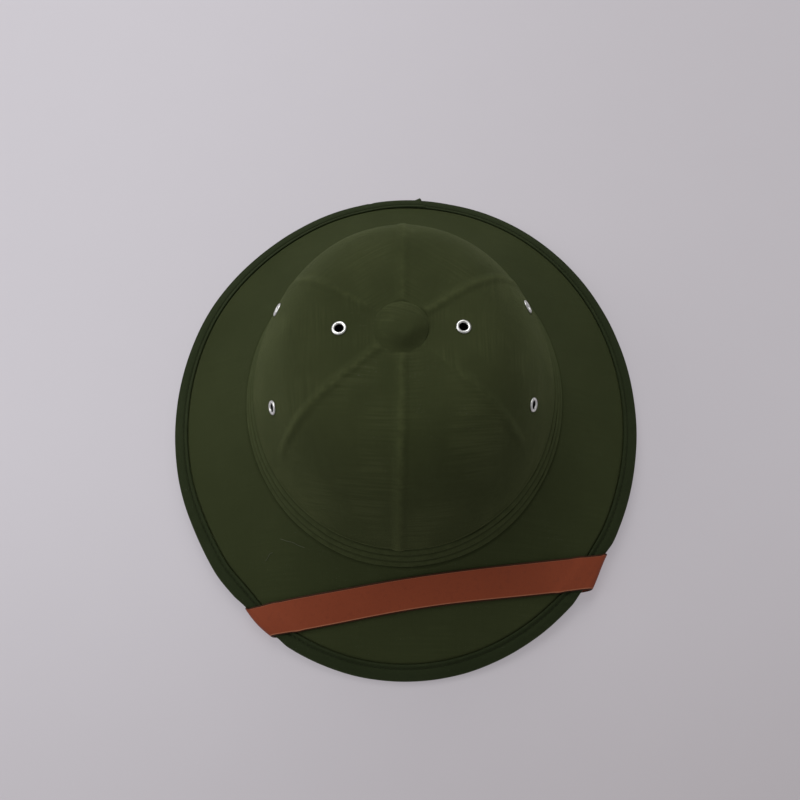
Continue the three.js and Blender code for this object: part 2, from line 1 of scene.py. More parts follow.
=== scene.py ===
# %% [markdown]
# # A cloth-covered sun helmet
# A hard pressed board gives this hat its shape, and dark olive cotton is glued and sewn
# over it. The lesson loads the measured solids as a fixed frame, then dresses them: the
# crown in six panels, the button, the pleated band, the brim, its stitched binding, the
# metal eyelets and the leather chin strap.

import math

import bpy
import numpy as np
from mathutils import Matrix, Vector, noise


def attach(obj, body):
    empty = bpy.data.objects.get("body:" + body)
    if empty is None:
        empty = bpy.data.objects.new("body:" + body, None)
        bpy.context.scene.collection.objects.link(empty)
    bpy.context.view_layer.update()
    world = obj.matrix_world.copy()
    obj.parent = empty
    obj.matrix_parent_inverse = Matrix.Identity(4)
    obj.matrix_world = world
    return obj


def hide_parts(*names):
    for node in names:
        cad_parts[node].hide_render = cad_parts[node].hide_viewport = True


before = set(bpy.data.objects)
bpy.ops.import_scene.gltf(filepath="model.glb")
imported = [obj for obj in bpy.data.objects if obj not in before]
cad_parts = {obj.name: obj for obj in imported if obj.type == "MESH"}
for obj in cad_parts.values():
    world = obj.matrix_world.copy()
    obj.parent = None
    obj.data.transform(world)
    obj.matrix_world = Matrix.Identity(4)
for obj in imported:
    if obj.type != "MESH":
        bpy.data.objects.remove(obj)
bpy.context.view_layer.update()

# %% [markdown]
# ## Camera
# The hat lies on a table and is seen from high above its front. A real lens has a place,
# a direction and a focal length, and all of them change how wide the brim looks beside
# the crown. A camera that was solved from the rim, the foot and the eyelets keeps those
# proportions. It could be set by eye, but a few degrees already move the crown.

# %% Stand the camera where the picture was taken from
MM = 0.001
SENSOR = 36.0
PICTURE = 800
LENS_IN_PIXELS = 1003.2
LOOKING_DOWN = math.radians(66.72)
HAT_TURN = math.radians(-2.56)
CAMERA_ROLL = math.radians(2.99)
STAND_OFF = 614.21
AIM = Vector((2.46, -12.5, 0))


def camera_matrix():
    turn = Matrix.Rotation(-HAT_TURN, 3, "Z")
    forward = Vector((0, math.cos(LOOKING_DOWN), -math.sin(LOOKING_DOWN)))
    upward = Vector((0, math.sin(LOOKING_DOWN), math.cos(LOOKING_DOWN)))
    right = Vector((1, 0, 0))
    place = turn @ (-forward * STAND_OFF - AIM) * MM
    across = turn @ (math.cos(CAMERA_ROLL) * right - math.sin(CAMERA_ROLL) * upward)
    up = turn @ (math.sin(CAMERA_ROLL) * right + math.cos(CAMERA_ROLL) * upward)
    matrix = Matrix((across, up, -(turn @ forward))).transposed().to_4x4()
    matrix.translation = place
    return matrix


camera_data = bpy.data.cameras.new("picture_camera")
camera_data.sensor_width = SENSOR
camera_data.lens = LENS_IN_PIXELS / PICTURE * SENSOR
camera_data.clip_start = 0.01
camera = bpy.data.objects.new("picture_camera", camera_data)
camera.matrix_world = camera_matrix()
bpy.context.scene.collection.objects.link(camera)
bpy.context.scene.camera = camera
print("camera at", [round(c, 3) for c in camera.location], "lens", round(camera_data.lens, 1))

# %% [markdown]
# ## Sizes and curves of the hat
# Every piece lies on a few curves: the oval of the foot, the oval of the rim, the slope of
# the brim and the bulge of the dome. They are written once, in millimetres, so that the
# cloth lies on its board everywhere. Points could also be picked off the solids, but a
# formula stays smooth however finely it is cut.

# %% Sizes in millimetres
GAP = 0.3
RIM_A, RIM_B = 275 / 2, 311 / 2
SIDE_RISE, REST_HALF_WIDTH = 6.5, 30
FOOT_A, FOOT_B, FOOT_HEIGHT = 90, 101, 37.8
BOARD, EDGE_BOARD, LEDGE = 2.8, 1.4, 7.5
FOOT_SLOPE, RIM_SLOPE = 0.86, 0.45
BINDING_CLOTH, BINDING_REACH, SOLE = 1.0, 8.5, 2
BAND_HEIGHT, BAND_INSET, BAND_CLOTH = 14, 6, 0.9
PLEAT_DEPTH, PLEATS = 0.9, 3
DOME_RISE, FULLNESS, WALL = 68.5, 4.6, 2.6
RIB_WIDTH, RIB_RISE = 9, 1.6
BUTTON_RADIUS = 14

DOME_A, DOME_B = FOOT_A - BAND_INSET, FOOT_B - BAND_INSET
DOME_MIDDLE = (DOME_A + DOME_B) / 2
DOME_FOOT = FOOT_HEIGHT + BAND_HEIGHT + GAP
BAND_SLANT = math.hypot(BAND_HEIGHT, BAND_INSET)
BAND_LEVEL, BAND_LEAN = BAND_HEIGHT / BAND_SLANT, BAND_INSET / BAND_SLANT
BAND_DEPTH = BAND_CLOTH + PLEAT_DEPTH
CROWN_SEAT = BAND_DEPTH + GAP
CROWN_LINING = CROWN_SEAT + WALL
LEAF_INNER = EDGE_BOARD / 2 + GAP
LEAF_OUTER = LEAF_INNER + BINDING_CLOTH
BOARD_INSET = BINDING_CLOTH + GAP
BINDING_TOP = 2 * LEAF_OUTER + GAP
RIM_MIDDLE = BINDING_TOP - LEAF_OUTER
BINDING_PROUD = LEAF_OUTER - BOARD / 2
RIM_TRIMS = [(124, 30, 1.7), (214, 18, 0.9), (230, 9, 1.3), (320, 8, 0.7)]
STRAP_LEFT, STRAP_RIGHT = math.radians(-123.4), math.radians(-43.0)
print("dome", DOME_A, "x", DOME_B, "mm, foot at", round(DOME_FOOT, 1))

# %% The curves


def bump(share):
    return 0.5 + 0.5 * np.cos(np.pi * np.minimum(1, np.abs(share)))


def smooth_step(value, low, high):
    share = np.clip((value - low) / (high - low), 0, 1)
    return share * share * (3 - 2 * share)


def blend(a, b, share):
    return a + (b - a) * share


def turn_at(bearing, a, b):
    return np.arctan2(np.sin(bearing) / b, np.cos(bearing) / a)


def rim_trim(t):
    bearing = np.degrees(np.arctan2(RIM_B * np.sin(t), RIM_A * np.cos(t)))
    inset = 0
    for middle, width, depth in RIM_TRIMS:
        inset = inset + depth * bump(((bearing - middle + 180) % 360 - 180) / width)
    return inset


def oval(a, b, t, z):
    return np.stack(np.broadcast_arrays(a * np.cos(t), b * np.sin(t), z), -1)


def on_foot(t, out, z):
    return oval(FOOT_A + out, FOOT_B + out, t, z)


def on_rim(t, out, z):
    reach = out - rim_trim(t)
    return oval(RIM_A + reach, RIM_B + reach, t, z)


def sole_height(t):
    start = REST_HALF_WIDTH / RIM_A
    return SIDE_RISE * np.maximum(0, (np.abs(np.cos(t)) - start) / (1 - start))


def brim_axes(t, share):
    inset = BOARD_INSET + rim_trim(t)
    return blend(FOOT_A, RIM_A - inset, share), blend(FOOT_B, RIM_B - inset, share)


def brim_middle(t, share):
    a, b = brim_axes(t, share)
    edge_a, edge_b = brim_axes(t, 1)
    run = np.hypot((edge_a - FOOT_A) * np.cos(t), (edge_b - FOOT_B) * np.sin(t))
    high = FOOT_HEIGHT - GAP - BOARD / 2
    low = sole_height(t) + RIM_MIDDLE
    rest = 1 - share
    z = (high * rest * rest * (1 + 2 * share) + low * share * share * (3 - 2 * share)
         - FOOT_SLOPE * run * share * rest * rest + RIM_SLOPE * run * share * share * rest)
    return oval(a, b, t, z)


def binding_share(t):
    a, b = brim_axes(t, 1)
    run = BOARD_INSET + np.hypot((a - FOOT_A) * np.cos(t), (b - FOOT_B) * np.sin(t))
    return 1 - (BINDING_REACH - BOARD_INSET) / run


def raised(point, by):
    return point + np.stack(np.broadcast_arrays(0, 0, by), -1)


def band_point(t, up, depth):
    return on_foot(t, -BAND_INSET * up - depth * BAND_LEVEL,
                   FOOT_HEIGHT + BAND_HEIGHT * up - depth * BAND_LEAN)


def level_up(depth):
    return depth * BAND_LEAN / BAND_HEIGHT


def dome_point(reach, bearing, inset=0, drop=0):
    a, b = DOME_A - inset, DOME_B - inset
    radius = reach / np.hypot(np.cos(bearing) / a, np.sin(bearing) / b)
    z = DOME_FOOT + (DOME_RISE - drop) * (1 - reach ** FULLNESS)
    return np.stack(np.broadcast_arrays(radius * np.cos(bearing), radius * np.sin(bearing), z), -1)


def dome_normal(points):
    x, y = points[..., 0], points[..., 1]
    reach = np.hypot(x / DOME_A, y / DOME_B)
    fall = DOME_RISE * FULLNESS * np.maximum(reach, 1e-6) ** (FULLNESS - 2)
    normal = np.stack([fall * x / DOME_A ** 2, fall * y / DOME_B ** 2, np.ones_like(x)], -1)
    return normal / np.linalg.norm(normal, axis=-1, keepdims=True)


def dome_at(x, y):
    return dome_point(np.hypot(x / DOME_A, y / DOME_B), np.arctan2(y, x))


def measured(line):
    """Distance of each point of a line from its first one, along the line."""
    return np.r_[0, np.cumsum(np.linalg.norm(np.diff(line, axis=0), axis=1))]


def even_reaches(rows, start):
    fine = np.linspace(start, 1, 400)
    length = measured(dome_point(fine, 0.0))
    return np.interp(np.linspace(0, length[-1], rows), length, fine)


def waviness(points, scale, seed):
    """Smooth unevenness between -1 and 1 over a cloud of points, the same on each run."""
    flat = np.asarray(points, float).reshape(-1, 3) * scale
    values = [noise.noise(Vector((x + seed, y - seed, z))) for x, y, z in flat]
    return np.array(values).reshape(np.shape(points)[:-1])


print("rim runs", round(float(brim_middle(0.0, 1.0)[0]), 1), "mm out at the side")

# %% [markdown]
# ## From rows of points to cloth
# Each piece is a lattice of points: rows run round the hat, and the lattice closes on
# itself. A subdivided box could be pushed into shape, but a lattice knows where its threads
# run, so the weave gets true coordinates in millimetres along and across the cloth.

# %% Build a piece from a lattice


def lattice_faces(rows, columns, wrap_rows=False, wrap_columns=True):
    r = np.arange(rows if wrap_rows else rows - 1)
    c = np.arange(columns if wrap_columns else columns - 1)
    r, c = np.meshgrid(r, c, indexing="ij")
    r2, c2 = (r + 1) % rows, (c + 1) % columns
    quads = [r * columns + c, r2 * columns + c, r2 * columns + c2, r * columns + c2]
    return np.stack(quads, -1).reshape(-1, 4)


def signed_volume(mesh):
    mesh.calc_loop_triangles()
    points = np.empty(len(mesh.vertices) * 3)
    mesh.vertices.foreach_get("co", points)
    corners = np.empty(len(mesh.loop_triangles) * 3, int)
    mesh.loop_triangles.foreach_get("vertices", corners)
    a, b, c = points.reshape(-1, 3)[corners].reshape(-1, 3, 3).transpose(1, 0, 2)
    return float((a * np.cross(b, c)).sum() / 6)


def make_piece(name, points, faces, threads=None, wear_and_painted_light=None):
    """A smooth closed mesh. threads holds a pair of millimetres for each face corner, and
    wear_and_painted_light a share from 0 to 1 for each point that rubs; on the eyelets it marks
    painted shade, and on the strap a painted highlight and the dyed edges."""
    mesh = bpy.data.meshes.new(name)
    mesh.from_pydata((np.asarray(points) * MM).tolist(), [], [list(map(int, f)) for f in faces])
    if threads is not None:
        layer = mesh.uv_layers.new(name="threads")
        layer.uv.foreach_set("vector", np.asarray(threads, np.float32).ravel())
    if wear_and_painted_light is not None:
        layer = mesh.attributes.new("wear_and_painted_light", "FLOAT", "POINT")
        layer.data.foreach_set("value", np.asarray(wear_and_painted_light, np.float32).ravel())
    mesh.update()
    if signed_volume(mesh) < 0:
        mesh.flip_normals()
    mesh.shade_smooth()
    piece = bpy.data.objects.new(name, mesh)
    bpy.context.scene.collection.objects.link(piece)
    print(name, len(mesh.polygons), "faces,", round(signed_volume(mesh) * 1e6, 2), "ml")
    return piece


def grid_threads(u, v):
    """Thread coordinates for the corners of each quad of a lattice."""
    uv = np.stack(np.broadcast_arrays(u, v), -1)
    return np.stack([uv[:-1, :-1], uv[1:, :-1], uv[1:, 1:], uv[:-1, 1:]], 2).reshape(-1, 2)


def bored(piece, cutters):
    """Cuts closed plugs, given as lists of points and faces, out of a piece."""
    mesh = bpy.data.meshes.new("plugs")
    points, faces = [], []
    for plug_points, plug_faces in cutters:
        faces += [[i + len(points) for i in face] for face in plug_faces]
        points += [list(p) for p in np.asarray(plug_points) * MM]
    mesh.from_pydata(points, [], faces)
    plugs = bpy.data.objects.new("plugs", mesh)
    bpy.context.scene.collection.objects.link(plugs)
    cut = piece.modifiers.new("holes", "BOOLEAN")
    cut.operation = "DIFFERENCE"
    cut.solver = "EXACT"
    cut.object = plugs
    graph = bpy.context.evaluated_depsgraph_get()
    result = bpy.data.meshes.new_from_object(piece.evaluated_get(graph))
    piece.modifiers.clear()
    old = piece.data
    piece.data = result
    result.name = piece.name
    bpy.data.meshes.remove(old)
    bpy.data.objects.remove(plugs)
    bpy.data.meshes.remove(mesh)
    print(piece.name, "bored,", len(result.polygons), "faces")


def turned(profile, sides, seat, axis):
    """Points of a profile of (radius, height) that is turned round an axis."""
    turn = Vector((0, 0, 1)).rotation_difference(Vector(axis)).to_matrix()
    ring = np.linspace(0, 2 * np.pi, sides, endpoint=False)
    points = [[r * math.cos(a), r * math.sin(a), h] for r, h in profile for a in ring]
    points = np.asarray(points) @ np.array(turn).T + np.asarray(seat)
    return points


def end_faces(first, last, sides, flipped=False):
    """The two faces that close a tube whose end rings begin at these points."""
    start, stop = list(range(first, first + sides)), list(range(last, last + sides))
    return [start[::-1], stop] if flipped else [start, stop[::-1]]


def plug(seat, axis, radius, low, high, sides=48):
    """Points and faces of a closed cylinder that cuts a hole."""
    points = turned([(radius, low), (radius, high)], sides, seat, axis)
    faces = [face[::-1] for face in lattice_faces(2, sides).tolist()]
    return points, faces + end_faces(0, sides, sides, True)


print("lattice helpers ready")

# %% [markdown]
# ## Effects that several finishes share
# Cotton, leather and metal all show small things that repeat: threads, uneven dye, fluff
# and rubbed edges. Each could be painted into every material, but a node group is built
# once and is set differently in each place. A group gives only values, so the shader stays
# in the material itself.

# %% Helpers for node trees


def wire(tree, target, value):
    if isinstance(value, bpy.types.NodeSocket):
        tree.links.new(value, target)
    else:
        target.default_value = value


def calc(tree, operation, *values):
    node = tree.nodes.new("ShaderNodeMath")
    node.operation = operation
    for socket, value in zip(node.inputs, values):
        wire(tree, socket, value)
    return node.outputs[0]


def cloud(tree, vector, scale, detail=2.0, roughness=0.5, dimensions="3D"):
    node = tree.nodes.new("ShaderNodeTexNoise")
    node.noise_dimensions = dimensions
    tree.links.new(vector, node.inputs["Vector"])
    node.inputs["Scale"].default_value = scale
    node.inputs["Detail"].default_value = detail
    node.inputs["Roughness"].default_value = roughness
    return node.outputs["Fac"]


def spread(tree, value, low, high, to_low=0.0, to_high=1.0):
    node = tree.nodes.new("ShaderNodeMapRange")
    node.interpolation_type = "SMOOTHSTEP"
    for name, setting in (("Value", value), ("From Min", low), ("From Max", high),
                          ("To Min", to_low), ("To Max", to_high)):
        wire(tree, node.inputs[name], setting)
    return node.outputs[0]


def joined(tree, x, y, z=0.0):
    node = tree.nodes.new("ShaderNodeCombineXYZ")
    for socket, value in zip(node.inputs, (x, y, z)):
        wire(tree, socket, value)
    return node.outputs[0]


def tint(tree, share, colour, other):
    node = tree.nodes.new("ShaderNodeMix")
    node.data_type = "RGBA"
    wire(tree, node.inputs[0], share)
    wire(tree, node.inputs[6], colour)
    wire(tree, node.inputs[7], other)
    return node.outputs[2]


def new_group(name, inputs, outputs):
    tree = bpy.data.node_groups.new(name, "ShaderNodeTree")
    for label, kind, setting in inputs:
        socket = tree.interface.new_socket(label, in_out="INPUT", socket_type=kind)
        if setting is not None:
            socket.default_value = setting
    for label in outputs:
        tree.interface.new_socket(label, in_out="OUTPUT", socket_type="NodeSocketFloat")
    return tree, tree.nodes.new("NodeGroupInput"), tree.nodes.new("NodeGroupOutput")


FLOAT, VECTOR = "NodeSocketFloat", "NodeSocketVector"
print("node helpers ready")

# %% [markdown]
# ### Plain weave
# The cotton is a plain weave: each thread goes over one and under the next, like a chess
# board of tiny cushions. Threads also vary in thickness, which shows from afar as faint
# lines across the cloth. A picture of cloth would do it from one distance only; threads
# that are counted from their coordinates stay true in a close view.

# %% Build the weave group
weave, start, end = new_group(
    "Plain weave",
    [("Threads", VECTOR, None), ("Pitch", FLOAT, 0.55), ("Relief", FLOAT, 0.1)],
    ["Height", "Thread shade", "Weft lines"])
split = weave.nodes.new("ShaderNodeSeparateXYZ")
weave.links.new(start.outputs["Threads"], split.inputs[0])
u = calc(weave, "DIVIDE", split.outputs["X"], start.outputs["Pitch"])
v = calc(weave, "DIVIDE", split.outputs["Y"], start.outputs["Pitch"])
warp_number, weft_number = calc(weave, "FLOOR", u), calc(weave, "FLOOR", v)
warp_round = calc(weave, "SINE", calc(weave, "MULTIPLY", calc(weave, "FRACT", u), math.pi))
weft_round = calc(weave, "SINE", calc(weave, "MULTIPLY", calc(weave, "FRACT", v), math.pi))
over = calc(weave, "FLOORED_MODULO", calc(weave, "ADD", warp_number, weft_number), 2.0)
warp_cushion = calc(weave, "MULTIPLY", warp_round, calc(weave, "MULTIPLY_ADD", weft_round, 0.4, 0.6))
weft_cushion = calc(weave, "MULTIPLY", weft_round, calc(weave, "MULTIPLY_ADD", warp_round, 0.4, 0.6))
cushion = calc(weave, "ADD", calc(weave, "MULTIPLY", warp_cushion, over),
               calc(weave, "MULTIPLY", weft_cushion, calc(weave, "SUBTRACT", 1.0, over)))
warp_slub = cloud(weave, joined(weave, calc(weave, "MULTIPLY", warp_number, 3.7),
                                calc(weave, "MULTIPLY", v, 0.05)), 1.0, 1.0)
weft_slub = cloud(weave, joined(weave, calc(weave, "MULTIPLY", u, 0.05),
                                calc(weave, "MULTIPLY", weft_number, 3.7)), 1.0, 1.0)
slub = calc(weave, "ADD", calc(weave, "MULTIPLY", warp_slub, over),
            calc(weave, "MULTIPLY", weft_slub, calc(weave, "SUBTRACT", 1.0, over)))
lines = cloud(weave, joined(weave, calc(weave, "MULTIPLY", u, 0.012),
                            calc(weave, "MULTIPLY", v, 0.42)), 1.0, 1.0)
patches = cloud(weave, joined(weave, calc(weave, "MULTIPLY", u, 0.02),
                              calc(weave, "MULTIPLY", v, 0.015), 7.0), 1.0, 1.0)
weft_lines = calc(weave, "MULTIPLY", spread(weave, lines, 0.35, 0.65),
                  spread(weave, patches, 0.42, 0.62))
fullness = calc(weave, "MULTIPLY_ADD", slub, 0.9, 0.55)
height = calc(weave, "MULTIPLY", calc(weave, "MULTIPLY", cushion, fullness), start.outputs["Relief"])
weave.links.new(height, end.inputs["Height"])
# The thread shade is darker where the threads dip between the cushions, painted shade in those gaps,
# and follows the thickness of each thread.
shade = calc(weave, "MULTIPLY", calc(weave, "MULTIPLY_ADD", cushion, 0.6, 0.4), fullness)
weave.links.new(shade, end.inputs["Thread shade"])
weave.links.new(weft_lines, end.inputs["Weft lines"])
print("weave group:", len(weave.nodes), "nodes")

# %% [markdown]
# ### Uneven dye, fluff and rubbed edges
# Old dyed cotton is never one colour: it fades in soft clouds. Fluff catches on it as tiny
# pale specks. Folds that are touched often lose a little dye. The three effects are small
# groups, so each cloth can have its own amount.

# %% Build the mottling, dust and wear groups
mottle, start, end = new_group(
    "Uneven dye", [("Place", VECTOR, None), ("Cloud size", FLOAT, 18.0)], ["Cloud"])
wide = mottle.nodes.new("ShaderNodeTexNoise")
mottle.links.new(start.outputs["Place"], wide.inputs["Vector"])
mottle.links.new(start.outputs["Cloud size"], wide.inputs["Scale"])
wide.inputs["Detail"].default_value = 3.0
mottle.links.new(spread(mottle, wide.outputs["Fac"], 0.3, 0.7), end.inputs["Cloud"])

dust, start, end = new_group(
    "Fluff and dust", [("Place", VECTOR, None), ("Amount", FLOAT, 0.3)], ["Mask"])
speck = cloud(dust, start.outputs["Place"], 1500.0, 1.0)
drift = cloud(dust, start.outputs["Place"], 60.0, 2.0)
specks = calc(dust, "MULTIPLY", spread(dust, speck, 0.68, 0.8), spread(dust, drift, 0.4, 0.7))
dust.links.new(calc(dust, "MULTIPLY", specks, start.outputs["Amount"]), end.inputs["Mask"])

# This edge mask serves real wear on the cotton, and also painted shade inside the eyelet bores and a
# painted highlight along the strap's lower edge.
edge_wear_and_painted_light, start, end = new_group(
    "Edge wear and painted light",
    [("Place", VECTOR, None), ("Edge", FLOAT, 0.0), ("Breakup", FLOAT, 0.5)], ["Mask"])
patchy = cloud(edge_wear_and_painted_light, start.outputs["Place"], 240.0, 3.0, 0.65)
patchy = calc(edge_wear_and_painted_light, "MULTIPLY", calc(edge_wear_and_painted_light, "SUBTRACT", patchy, 0.5), start.outputs["Breakup"])
worn = calc(edge_wear_and_painted_light, "ADD", start.outputs["Edge"], calc(edge_wear_and_painted_light, "MULTIPLY", patchy, 2.0))
worn = calc(edge_wear_and_painted_light, "MULTIPLY", spread(edge_wear_and_painted_light, worn, 0.25, 1.0),
            spread(edge_wear_and_painted_light, start.outputs["Edge"], 0.0, 0.25))
edge_wear_and_painted_light.links.new(worn, end.inputs["Mask"])
print("groups:", [group.name for group in bpy.data.node_groups])

# %% [markdown]
# ## Cotton
# The cloth is a matt dark olive cotton. At grazing angles its short fluff lights up, which
# is what draws the pale line round the crown, so the shader gets sheen. The thread height
# goes through a bump node; the shapes that can be seen from the side are in the mesh.

# %% Mix the cottons


def placed(tree, group, **settings):
    node = tree.nodes.new("ShaderNodeGroup")
    node.node_tree = group
    for name, setting in settings.items():
        wire(tree, node.inputs[name.replace("_", " ").capitalize()], setting)
    return node.outputs


def new_material(name):
    material = bpy.data.materials.new(name)
    material.use_nodes = True
    tree = material.node_tree
    shader = next(n for n in tree.nodes if n.type == "BSDF_PRINCIPLED")
    place = tree.nodes.new("ShaderNodeTexCoord").outputs["Object"]
    return material, tree, shader, place


def thread_source(tree):
    node = tree.nodes.new("ShaderNodeUVMap")
    node.uv_map = "threads"
    return node.outputs["UV"]


def wear_and_painted_light_source(tree):
    node = tree.nodes.new("ShaderNodeAttribute")
    node.attribute_name = "wear_and_painted_light"
    return node.outputs["Fac"]


def bumped(tree, shader, height, strength=1.0):
    node = tree.nodes.new("ShaderNodeBump")
    node.inputs["Distance"].default_value = MM
    node.inputs["Strength"].default_value = strength
    tree.links.new(height, node.inputs["Height"])
    tree.links.new(node.outputs["Normal"], shader.inputs["Normal"])


def cotton(name, deep, pale, lines=0.1, mottling=0.15, sheen=0.15, pitch=0.55, relief=0.12):
    material, tree, shader, place = new_material(name)
    threads = placed(tree, weave, threads=thread_source(tree), pitch=pitch, relief=relief)
    clouds = placed(tree, mottle, place=place, cloud_size=22.0)["Cloud"]
    fluff = placed(tree, dust, place=place, amount=0.35)["Mask"]
    worn = placed(tree, edge_wear_and_painted_light, place=place, edge=wear_and_painted_light_source(tree), breakup=0.5)["Mask"]
    body = calc(tree, "ADD", calc(tree, "MULTIPLY", threads["Thread shade"], 0.5),
                calc(tree, "MULTIPLY", clouds, mottling))
    body = calc(tree, "ADD", body, calc(tree, "MULTIPLY", threads["Weft lines"], lines))
    colour = tint(tree, spread(tree, body, 0.1, 1.1), (*deep, 1), (*pale, 1))
    colour = tint(tree, calc(tree, "MULTIPLY", worn, 0.45), colour, (*[1.5 * c for c in pale], 1))
    colour = tint(tree, fluff, colour, (0.2, 0.2, 0.17, 1))
    tree.links.new(colour, shader.inputs["Base Color"])
    tree.links.new(spread(tree, body, 0.0, 1.2, 0.95, 0.82), shader.inputs["Roughness"])
    bumped(tree, shader, threads["Height"])
    shader.inputs["Specular IOR Level"].default_value = 0.08
    shader.inputs["Sheen Weight"].default_value = sheen
    shader.inputs["Sheen Roughness"].default_value = 0.22
    shader.inputs["Sheen Tint"].default_value = (0.52, 0.62, 0.24, 1)
    return material


crown_cotton = cotton("crown_cotton", (0.0365, 0.0445, 0.0160), (0.0610, 0.0715, 0.0275),
                      lines=0.3, mottling=0.25, sheen=0.28)
brim_cotton = cotton("brim_cotton", (0.0340, 0.0427, 0.0154), (0.0540, 0.0650, 0.0251), sheen=0.16)
trim_cotton = cotton("trim_cotton", (0.0215, 0.0295, 0.0115), (0.0355, 0.047, 0.0200))
print("cottons:", crown_cotton.name, brim_cotton.name, trim_cotton.name)

# %% [markdown]
# ## Leather, thread and metal
# The strap is smooth red-brown leather with a fine pebbled grain. Its cut edges are dyed
# dark. A pale crease runs beside the lower edge, painted lighter there as a highlight, and
# the dark reaches onto the face at the upper edge. The eyelets are pale plated metal, a
# little dulled, and painted dark inside their bores as shade.
# The sewing thread is the cotton's own green, only darker, and its loose ends are bleached.

# %% Mix the leather, the thread and the metal
leather, tree, shader, place = new_material("tanned_leather")
pebbles = tree.nodes.new("ShaderNodeTexVoronoi")
pebbles.feature = "SMOOTH_F1"
tree.links.new(place, pebbles.inputs["Vector"])
pebbles.inputs["Scale"].default_value = 1400.0
pebble = pebbles.outputs["Distance"]
pores = cloud(tree, place, 420.0, 3.0, 0.6)
clouds = placed(tree, mottle, place=place, cloud_size=26.0)["Cloud"]
at_edge = wear_and_painted_light_source(tree)
# Painted highlight: crease lightens a line beside the strap's lower edge, partly rubbed leather and
# partly the painted light on its bevel.
crease = placed(tree, edge_wear_and_painted_light, place=place, edge=spread(tree, at_edge, 0.1, 0.5), breakup=0.25)["Mask"]
colour = tint(tree, clouds, (0.245, 0.052, 0.0205, 1), (0.27, 0.058, 0.023, 1))
colour = tint(tree, spread(tree, pores, 0.3, 0.5, 0.2, 0.0), colour, (0.16, 0.035, 0.015, 1))
colour = tint(tree, calc(tree, "MULTIPLY", crease, 0.75), colour, (0.48, 0.19, 0.10, 1))
colour = tint(tree, spread(tree, at_edge, 0.52, 0.66), colour, (0.046, 0.013, 0.0045, 1))
tree.links.new(colour, shader.inputs["Base Color"])
tree.links.new(spread(tree, pores, 0.3, 0.7, 0.5, 0.66), shader.inputs["Roughness"])
bumped(tree, shader, calc(tree, "ADD", calc(tree, "MULTIPLY", pebble, 0.05),
                          calc(tree, "MULTIPLY", pores, 0.03)))
shader.inputs["Specular IOR Level"].default_value = 0.15

metal, tree, shader, place = new_material("plated_metal")
scratches = cloud(tree, place, 2600.0, 3.0, 0.7)
tarnish = placed(tree, mottle, place=place, cloud_size=500.0)["Cloud"]
colour = tint(tree, tarnish, (0.66, 0.66, 0.64, 1), (0.88, 0.88, 0.86, 1))
# Painted shade: inside the eyelet bores the metal is painted nearly black, as the shade that falls in
# the hole.
painted_bore_shade = placed(tree, edge_wear_and_painted_light, place=place, edge=wear_and_painted_light_source(tree), breakup=0.2)["Mask"]
tree.links.new(tint(tree, painted_bore_shade, colour, (0.02, 0.02, 0.018, 1)), shader.inputs["Base Color"])
tree.links.new(spread(tree, scratches, 0.3, 0.7, 0.24, 0.46), shader.inputs["Roughness"])
bumped(tree, shader, calc(tree, "MULTIPLY", scratches, 0.01))
shader.inputs["Metallic"].default_value = 1.0

thread, tree, shader, place = new_material("sewing_thread")
plies = tree.nodes.new("ShaderNodeTexWave")
plies.bands_direction = "DIAGONAL"
tree.links.new(place, plies.inputs["Vector"])
plies.inputs["Scale"].default_value = 700.0
tree.links.new(tint(tree, plies.outputs["Fac"], (0.012, 0.016, 0.006, 1), (0.030, 0.037, 0.015, 1)),
               shader.inputs["Base Color"])
tree.links.new(spread(tree, plies.outputs["Fac"], 0.0, 1.0, 0.5, 0.7), shader.inputs["Roughness"])
bumped(tree, shader, calc(tree, "MULTIPLY", plies.outputs["Fac"], 0.05))
shader.inputs["Specular IOR Level"].default_value = 0.1

pale_thread, tree, shader, place = new_material("loose_thread")
bleached = placed(tree, mottle, place=place, cloud_size=900.0)["Cloud"]
tree.links.new(tint(tree, bleached, (0.065, 0.074, 0.037, 1), (0.115, 0.124, 0.07, 1)),
               shader.inputs["Base Color"])
tree.links.new(spread(tree, bleached, 0.0, 1.0, 0.6, 0.8), shader.inputs["Roughness"])
bumped(tree, shader, calc(tree, "MULTIPLY", bleached, 0.02))
print("materials:", [m.name for m in bpy.data.materials])

# %% Finish a piece


def finish_piece(piece, material, slot, *nodes):
    """Gives a piece its material and its body, and hides the solids that it stands for. The slot is
    not used.
    """
    piece.data.materials.clear()
    piece.data.materials.append(material)
    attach(piece, "root")
    if nodes:
        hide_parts(*nodes)


# %% [markdown]
# ## Crown
# Six cloth panels meet under padded ridges that run from the foot into the button. The
# ridges could be bump only, but they break the outline of the crown, so they are modelled:
# thirteen columns of points cross each ridge, and fewer lie between them. The board below
# is not perfect, so the cloth swells and sinks by a few tenths of a millimetre.

# %% Lay out the columns of the crown
SEAMS = [(-90.5, -3, 1.2, 0.66, 15), (-40, 6, 0.84, 0.43, 36), (35, 0, 0.84, 0.62, 15),
         (89, 2, 1.2, 0.5, 15), (145, 0, 0.84, 0.5, 22), (219.5, -6, 0.88, 0.58, 15)]
SEAM_FADE, LEAN_CENTRE, WIDEST_SEAM = 0.08, 0.6, math.radians(17)
RIB_COLUMNS, PANEL_STEP = 13, 1.7

